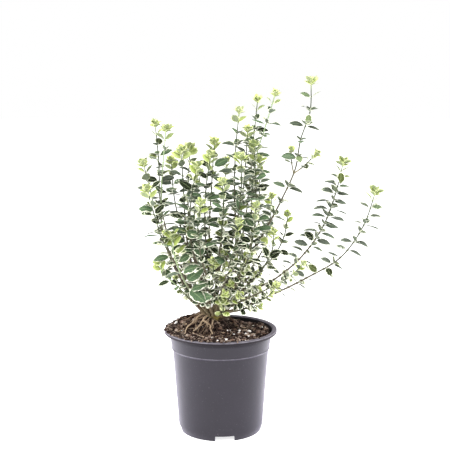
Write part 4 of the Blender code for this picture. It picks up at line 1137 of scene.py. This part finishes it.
def pot_outline():
    """The wall as (radius, height), from the middle of its inside up over the lip and down to its foot."""
    floor = FLOOR_UNDERSIDE + WALL

    def off(point, out, up):
        return point[0] + out, point[1] + up

    lip, lip_foot = (LIP_RADIUS, LIP_TOP), (LIP_RADIUS, LIP_BOTTOM)
    inside = (
        (PAD_RADIUS - 0.8, WALL), (PAD_RADIUS + 5.2, floor), (FOOT_TURN[0] - WALL, floor),
        off(BODY_BOTTOM, -WALL, 0.4), off(BODY_TOP, -WALL, 0.4), off(BAND_BOTTOM, -WALL, 0.6),
        off(BAND_TOP, -WALL, 0), (BAND_TOP[0] - 0.4, LIP_BOTTOM + 0.4),
    )
    rolled_lip = (
        off(lip, -6.0, -0.8), off(lip, -5.4, -0.2), off(lip, -4.6, 0), off(lip, -1.2, 0),
        off(lip, -0.35, -0.3), off(lip, 0, -1.0), off(lip_foot, 0, 0.2), off(lip_foot, -0.2, 0),
        off(lip_foot, -WALL, 0), off(lip, -WALL, -1.6),
        (BAND_TOP[0] + 2.2, LIP_TOP - 1.6), (BAND_TOP[0] + 0.6, LIP_BOTTOM),
    )
    band = (
        BAND_TOP, off(BAND_TOP, -0.3, -2), off(BAND_BOTTOM, 0.1, 0.9), off(BAND_BOTTOM, 0.5, 0.5),
        off(BAND_BOTTOM, 0.65, 0.1), off(BAND_BOTTOM, 0.5, -0.3), off(BAND_BOTTOM, -0.2, -0.8),
    )
    body = (
        off(BODY_TOP, 0.2, 0.3), BODY_TOP, off(BODY_TOP, -0.1, -1.5),
        off(BODY_BOTTOM, 0.1, 4), BODY_BOTTOM, off(BODY_BOTTOM, -0.45, -3.4),
    )
    foot = (
        FOOT_TURN, (FOOT_RADIUS + 0.9, 1.8), (FOOT_RADIUS + 0.3, 0.4), (FOOT_RADIUS, 0.0),
        (FOOT_RADIUS - 1.3, 0.0), (FOOT_RADIUS - 0.6, FLOOR_UNDERSIDE),
        (PAD_RADIUS + 6.0, FLOOR_UNDERSIDE), (PAD_RADIUS, 0.0),
    )
    return np.array(inside + rolled_lip + band + body + foot)


def notch_edges(turn):
    """Two angles close together at each side of a notch, so that its sides stand upright."""
    half = NOTCH_WIDTH / 2 / FOOT_RADIUS
    edges = math.radians(turn) + np.array([-half - 0.004, -half + 0.004, half - 0.004, half + 0.004])
    return edges % (2 * math.pi)


def pot_skin():
    """The outline turned round the axis. Where a notch is, the foot's rings are lifted to its height."""
    outline = pot_outline()
    angle = [round_angles(POT_STEPS), *(notch_edges(turn) for turn in NOTCH_TURNS)]
    angle = np.sort(np.concatenate(angle))
    in_notch = np.zeros(len(angle), bool)
    for turn in NOTCH_TURNS:
        off = (angle - math.radians(turn) + math.pi) % (2 * math.pi) - math.pi
        in_notch |= abs(off) < NOTCH_WIDTH / 2 / FOOT_RADIUS
    radius, height = outline[:, :1], outline[:, 1:]
    at_foot = (radius > FOOT_RADIUS - 2) & (height < NOTCH_HEIGHT)
    height = np.where(at_foot & in_notch, np.maximum(height, NOTCH_HEIGHT), height)
    rings = around_axis(radius, height, angle)[::-1]
    inside = np.arange(len(outline)) < np.argmax(outline[:, 1])
    on_lip = outline[:, 0] > BAND_TOP[0] + 1
    wear = np.broadcast_to(np.stack([inside, on_lip, 0 * on_lip], axis=1)[::-1, None], rings.shape)
    return closed_skin(rings[None], np.array([[(0, 0, 0.0), (0, 0, WALL)]]), wear=wear[None])


# Materials. Places and distances are in metres here, and grain() takes the number of waves in a metre.


MOSS_PLACE = (-0.006, 0.001, 0.155)


def colour(red, green, blue):
    """A screen colour, 0 to 255, as the renderer's linear one."""
    screen = np.array((red, green, blue)) / 255
    linear = np.where(screen > 0.04045, ((screen + 0.055) / 1.055) ** 2.4, screen / 12.92)
    return (*linear.tolist(), 1.0)


class Paint:
    """A material's node tree, built with short calls, which take values or other nodes' outputs."""

    def __init__(self, name, roughness=0.5, specular=0.5):
        self.material = bpy.data.materials.new(name)
        self.material.use_nodes = True
        self.tree = self.material.node_tree
        self.shader = self.tree.nodes["Principled BSDF"]
        self.shader.inputs["Roughness"].default_value = roughness
        self.shader.inputs["Specular IOR Level"].default_value = specular

    def add(self, kind, inputs, **settings):
        """A node with its settings; an input is a value or another node's output."""
        node = self.tree.nodes.new(kind)
        for name, value in settings.items():
            setattr(node, name, value)
        for name, value in inputs.items():
            if isinstance(value, bpy.types.NodeSocket):
                self.tree.links.new(value, node.inputs[name])
            else:
                node.inputs[name].default_value = value
        return node

    def set(self, name, value):
        """Links an input of the shader to a node's output."""
        self.tree.links.new(value, self.shader.inputs[name])

    def parts(self, vector):
        """The three numbers of a vector."""
        return tuple(self.add("ShaderNodeSeparateXYZ", {"Vector": vector}).outputs)

    def mark(self, name):
        """The three numbers of a mark."""
        return self.parts(self.add("ShaderNodeAttribute", {}, attribute_name=name).outputs["Vector"])

    def work(self, operation, a, b=0.0, c=0.0):
        """A Math node's result, such as the larger of a and b."""
        return self.add("ShaderNodeMath", {0: a, 1: b, 2: c}, operation=operation).outputs[0]

    def times(self, a, b):
        """a times b."""
        return self.work("MULTIPLY", a, b)

    def times_plus(self, a, b, c):
        """a times b, plus c."""
        return self.work("MULTIPLY_ADD", a, b, c)

    def vector(self, x, y, z):
        """Three numbers as one vector."""
        return self.add("ShaderNodeCombineXYZ", {0: x, 1: y, 2: z}).outputs[0]

    def here(self):
        """The place on the piece, in its own coordinates."""
        return self.add("ShaderNodeTexCoord", {}).outputs["Object"]

    def noise(self, vector, scale, detail=3.0, roughness=0.55):
        """Cloudy noise over a vector, mostly between 0.3 and 0.7."""
        inputs = {"Vector": vector, "Scale": scale, "Detail": detail, "Roughness": roughness}
        return self.add("ShaderNodeTexNoise", inputs).outputs["Fac"]

    def grain(self, *settings):
        """Noise through the piece itself."""
        return self.noise(self.here(), *settings)

    def step(self, value, low, high, to_low=0.0, to_high=1.0):
        """A smooth step from to_low to to_high as the value goes from low to high."""
        inputs = {"Value": value, "From Min": low, "From Max": high, "To Min": to_low, "To Max": to_high}
        return self.add("ShaderNodeMapRange", inputs, interpolation_type="SMOOTHSTEP").outputs[0]

    def mix(self, share, first, second):
        """The first colour where the share is 0, and the second where it is 1."""
        return self.add("ShaderNodeMix", {0: share, 6: first, 7: second}, data_type="RGBA").outputs[2]

    def bump(self, height, strength, distance):
        """Makes the surface look higher where the height is greater."""
        inputs = {"Height": height, "Strength": strength, "Distance": distance}
        self.set("Normal", self.add("ShaderNodeBump", inputs).outputs[0])


def leaf_paint():
    """Green with a cream margin of uneven width; young leaves are lime with a yellow margin.

    Streaks along the blade and wider patches shift the margin's inner edge. Both are noise on s and v,
    moved by the leaf's own tone, so that no two leaves are alike. Veins run from the midrib as a sine.
    """
    paint = Paint("leaf", 0.5, 0.02)
    along, across, rim = paint.mark("place")
    age, tone, under = paint.mark("kind")
    own = paint.times(tone, 61.0)
    streaked = paint.vector(paint.times_plus(along, 5.0, own), paint.times(across, 1.3), own)
    streaks = paint.noise(streaked, 2.2)
    patches = paint.noise(paint.vector(paint.times_plus(along, 3.0, own), across, own), 1.1, 2.0)
    inside = paint.times_plus(paint.work("SUBTRACT", streaks, 0.5), 2.6, rim)
    inside = paint.times_plus(paint.work("SUBTRACT", patches, 0.5), 2.6, inside)
    dark = paint.mix(paint.step(tone, 0.45, 1.0), colour(9, 15, 10), colour(77, 98, 72))
    green = paint.mix(paint.step(inside, 1.1, 1.6), colour(86, 106, 74), dark)
    off_rib = paint.work("ABSOLUTE", across)
    veins = paint.work("SINE", paint.times_plus(off_rib, -9.0, paint.times(along, 55.0)))
    midrib = paint.step(off_rib, 0.09, 0.02, 0.0, 0.4)
    ribs = paint.work("MAXIMUM", midrib, paint.step(veins, 0.6, 1.0, 0.0, 0.17))
    green = paint.mix(ribs, green, colour(158, 174, 128))
    green_part = paint.step(inside, 0.85, 1.15)
    grown = paint.mix(green_part, colour(250, 251, 230), green)
    lime = paint.mix(tone, colour(158, 176, 90), colour(198, 210, 138))
    young = paint.mix(green_part, colour(234, 240, 184), lime)
    ripe = paint.step(paint.times_plus(tone, 0.22, age), 0.27, 0.68)
    grey = paint.times(under, 0.7)
    paint.set("Base Color", paint.mix(grey, paint.mix(ripe, young, grown), colour(112, 120, 110)))
    paint.set("Roughness", paint.step(under, 0.0, 1.0, 0.44, 0.65))
    paint.bump(paint.times_plus(veins, 0.3, streaks), 0.35, 0.0004)
    return paint.material


def stem_paint():
    """Green at the tip, grey-brown on old wood and pale at the foot."""
    paint = Paint("stem", 0.65, 0.2)
    wood, pale, along = paint.mark("kind")
    grain = paint.grain(420.0, 4.0)
    ripe = paint.step(paint.times_plus(grain, 0.35, wood), 0.3, 0.9)
    green = paint.mix(pale, colour(66, 76, 54), colour(146, 166, 124))
    green = paint.mix(paint.step(wood, 0.0, 0.05), colour(150, 170, 96), green)
    brown = paint.mix(grain, colour(64, 59, 48), colour(114, 106, 88))
    brown = paint.mix(paint.step(along, 0.4, 0.05, 0.0, 0.75), brown, colour(160, 144, 116))
    paint.set("Base Color", paint.mix(ripe, green, brown))
    paint.bump(grain, 0.5, 0.0005)
    return paint.material


def moss_on(paint, base):
    """The colour with a patch of yellow-green moss at the crown's front."""
    away = paint.add("ShaderNodeVectorMath", {0: paint.here(), 1: MOSS_PLACE}, operation="DISTANCE")
    uneven = paint.times_plus(paint.grain(240.0), 0.008, away.outputs["Value"])
    return paint.mix(paint.step(uneven, 0.014, 0.009, 0.0, 0.8), base, colour(126, 112, 52))


def soil_paint(name, marked):
    """Moist peat: near black to red-brown, in grains of several sizes."""
    paint = Paint(name, 0.92, 0.05)
    coarse = paint.grain(160.0, 6.0, 0.7)
    fine = paint.grain(900.0, 4.0, 0.6)
    dark = paint.mix(paint.step(coarse, 0.38, 0.68), colour(9, 5, 5), colour(45, 30, 27))
    if marked:
        tone, second, _ = paint.mark("kind")
        light = paint.mix(second, colour(112, 92, 82), colour(176, 158, 144))
        dark = paint.mix(paint.step(tone, 0.6, 0.9, 0.0, 0.9), dark, light)
    base = paint.mix(paint.step(fine, 0.5, 0.72, 0.0, 0.65), dark, colour(148, 128, 116))
    paint.set("Base Color", base if marked else moss_on(paint, base))
    paint.bump(paint.work("ADD", coarse, fine), 0.9, 0.0012)
    return paint.material


def bark_paint(name, dark, light, edge):
    """Brown bark with pale edges."""
    paint = Paint(name, 0.85, 0.3)
    grain = paint.grain(380.0, 5.0, 0.65)
    wide = paint.grain(90.0)
    brown = paint.mix(paint.step(wide, 0.35, 0.65), dark, light)
    brown = paint.mix(paint.step(grain, 0.45, 0.75), brown, edge)
    paint.set("Base Color", moss_on(paint, brown))
    paint.bump(grain, 0.8, 0.001)
    return paint.material


def root_paint():
    """Tan roots with darker, soiled stretches."""
    paint = Paint("root", 0.75, 0.3)
    _, tone, _ = paint.mark("kind")
    grain = paint.grain(500.0, 4.0)
    tan = paint.mix(grain, colour(134, 112, 90), colour(204, 180, 152))
    soiled = paint.work("ADD", paint.grain(70.0), paint.times(tone, 0.3))
    paint.set("Base Color", paint.mix(paint.step(soiled, 0.55, 0.85), tan, colour(84, 62, 50)))
    paint.bump(grain, 0.6, 0.0006)
    return paint.material


def perlite_paint():
    """White, pitted, with a few brown stains."""
    paint = Paint("perlite", 0.8, 0.4)
    pits = paint.grain(1400.0)
    stain = paint.step(paint.grain(260.0, 2.0), 0.58, 0.75, 0.0, 0.7)
    white = paint.mix(pits, colour(236, 230, 224), colour(250, 248, 246))
    paint.set("Base Color", paint.mix(stain, white, colour(178, 148, 128)))
    paint.bump(pits, 0.7, 0.0006)
    return paint.material


def line_at(paint, height, level, reach, most):
    """A line round the pot at a level, mm, which fades within a reach of it, m."""
    off = paint.work("ABSOLUTE", paint.work("SUBTRACT", height, level * MM))
    return paint.step(off, reach, 0.0002, 0.0, most)


def pot_paint():
    """Thin black moulded plastic: satin, cloudy, dusty on the lip, with painted shade under the lip.

    The step under the band and the lip's edge carry painted highlights: thin pale lines, in patches.
    """
    paint = Paint("black_plastic", 0.4)
    paint.shader.inputs["Specular Tint"].default_value = colour(243, 237, 253)
    paint.shader.inputs["Sheen Roughness"].default_value = 0.4
    _, _, height = paint.parts(paint.here())
    inside, on_lip, _ = paint.mark("wear")
    soiled = paint.work("MAXIMUM", inside, paint.times(on_lip, 0.6))
    cloudy = paint.grain(22.0, 4.0)
    fine = paint.grain(700.0)
    specks = paint.step(fine, 0.64, 0.8, 0.0, 0.4)
    base = paint.mix(paint.step(cloudy, 0.3, 0.75), colour(9, 8, 10), colour(17, 15, 20))
    base = paint.mix(specks, base, colour(112, 106, 112))
    base = paint.mix(soiled, base, paint.mix(specks, colour(6, 5, 5), colour(84, 74, 70)))
    base = paint.mix(paint.times(on_lip, 0.3), base, colour(40, 34, 38))
    # Painted highlights: pale lines at the step under the band and at the lip's top edge, broken into
    # patches.
    painted_highlights = paint.work("MAXIMUM", line_at(paint, height, BAND_BOTTOM[1] + 0.2, 0.0008, 0.38),
                        line_at(paint, height, LIP_TOP - 0.7, 0.001, 0.5))
    patchy = paint.step(paint.grain(130.0, 5.0, 0.7), 0.3, 0.65, 0.4, 1.0)
    paint.set("Base Color", paint.mix(paint.times(painted_highlights, patchy), base, colour(150, 146, 156)))
    # Painted shade: the reflection is weaker from the band's top to the lip's foot, under its overhang.
    above_band = paint.step(height, (BAND_TOP[1] - 4) * MM, (BAND_TOP[1] + 2) * MM)
    below_lip = paint.step(height, (LIP_BOTTOM - 0.2) * MM, (LIP_BOTTOM + 0.2) * MM, 1.0, 0.0)
    # Soil and dust weaken it too, inside the pot and on the lip.
    dull = paint.work("MAXIMUM", soiled, paint.times(paint.times(above_band, below_lip), 0.8))
    paint.set("Specular IOR Level", paint.times_plus(dull, -0.34, 0.42))
    paint.set("Sheen Weight", paint.times_plus(on_lip, 0.12, paint.times_plus(inside, -0.2, 0.2)))
    paint.set("Sheen Tint", paint.mix(on_lip, colour(200, 182, 252), colour(226, 214, 232)))
    paint.set("Roughness", paint.times_plus(soiled, 0.45, paint.step(cloudy, 0.3, 0.75, 0.3, 0.4)))
    mottled = paint.grain(75.0)
    paint.bump(paint.times_plus(mottled, 1.6, fine), 0.14, 0.0005)
    return paint.material


# The stage. Places and sizes are in metres.


FLOOR_GLOW = 0.75
CAMERA_PLACE = (0.0, -1.279, 0.481)
CAMERA_DOWN, CAMERA_RIGHT = 9.06, 0.26  # degrees
CAMERA_LENS = 78.96  # mm
LAMPS_MEET = (0, 0, 0.22)  # the place that they all face
LAMPS = (  # name, place, width and height, power
    ("left_lamp", (-1.1, 0.1, 0.5), (0.9, 1.2), 18),
    ("right_lamp", (1.15, 0.1, 0.5), (0.8, 1.1), 12),
    ("top_lamp", (-0.1, -0.4, 1.6), (1.4, 1.0), 17),
    ("front_lamp", (0.1, -1.5, 1.3), (1.4, 0.7), 19),
)


def add_lamp(name, place, size, power):
    """A soft oblong lamp that faces the plant."""
    data = bpy.data.lights.new(name, "AREA")
    data.shape = "RECTANGLE"
    data.size, data.size_y = size
    data.energy = power
    lamp = add_object(name, data)
    lamp.location = place
    lamp.rotation_euler = (Vector(LAMPS_MEET) - lamp.location).to_track_quat("-Z", "Y").to_euler()


def add_floor():
    """A pale floor that glows a little, so that it stays near white."""
    paint = Paint("floor", 0.9, 0.2)
    grain = paint.grain(30.0)
    paint.set("Base Color", paint.mix(grain, colour(232, 232, 232), colour(238, 238, 238)))
    paint.shader.inputs["Emission Color"].default_value = (1, 1, 1, 1)
    paint.shader.inputs["Emission Strength"].default_value = FLOOR_GLOW
    mesh = bpy.data.meshes.new("floor")
    mesh.from_pydata([(-6, -4, 0), (6, -4, 0), (6, 8, 0), (-6, 8, 0)], [], [(0, 1, 2, 3)])
    mesh.materials.append(paint.material)
    add_object("floor", mesh)


def add_stage():
    """The floor, white surroundings, the lamps and the camera."""
    add_floor()
    scene = bpy.context.scene
    world = bpy.data.worlds.new("white")
    world.use_nodes = True
    world.node_tree.nodes["Background"].inputs["Color"].default_value = (1, 1, 1, 1)
    world.node_tree.nodes["Background"].inputs["Strength"].default_value = 1.0
    scene.world = world
    for lamp in LAMPS:
        add_lamp(*lamp)
    data = bpy.data.cameras.new("camera")
    data.lens = CAMERA_LENS
    camera = add_object("camera", data)
    camera.location = CAMERA_PLACE
    camera.rotation_euler = (math.radians(90 - CAMERA_DOWN), 0, math.radians(-CAMERA_RIGHT))
    scene.camera = camera
    scene.view_settings.view_transform = "Standard"


def main():
    """Loads the frame, mixes the paints, then adds every piece and the stage."""
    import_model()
    paints = {
        "leaf": leaf_paint(), "stem": stem_paint(), "soil": soil_paint("soil", False),
        "crumb": soil_paint("crumb", True), "root": root_paint(),
        "bark": bark_paint("bark", colour(54, 38, 31), colour(106, 80, 66), colour(132, 108, 92)),
        # The crown's is the bark's paint made darker: painted shade under the foliage.
        "crown": bark_paint("crown", colour(30, 22, 17), colour(70, 54, 42), colour(112, 94, 74)),
        "perlite": perlite_paint(), "black_plastic": pot_paint(),
    }
    pot = add_piece("pot_wall", pot_skin(), paints["black_plastic"], "black_plastic", "pot")
    pot.data.set_sharp_from_angle(angle=math.radians(32))
    add_soil(paints)
    add_chips(paints)
    add_perlite(paints)
    add_piece("crown_wood", crown_skin(), paints["crown"], "bark", "crown")
    add_roots(paints)
    add_shoots(paints)
    add_stage()


main()
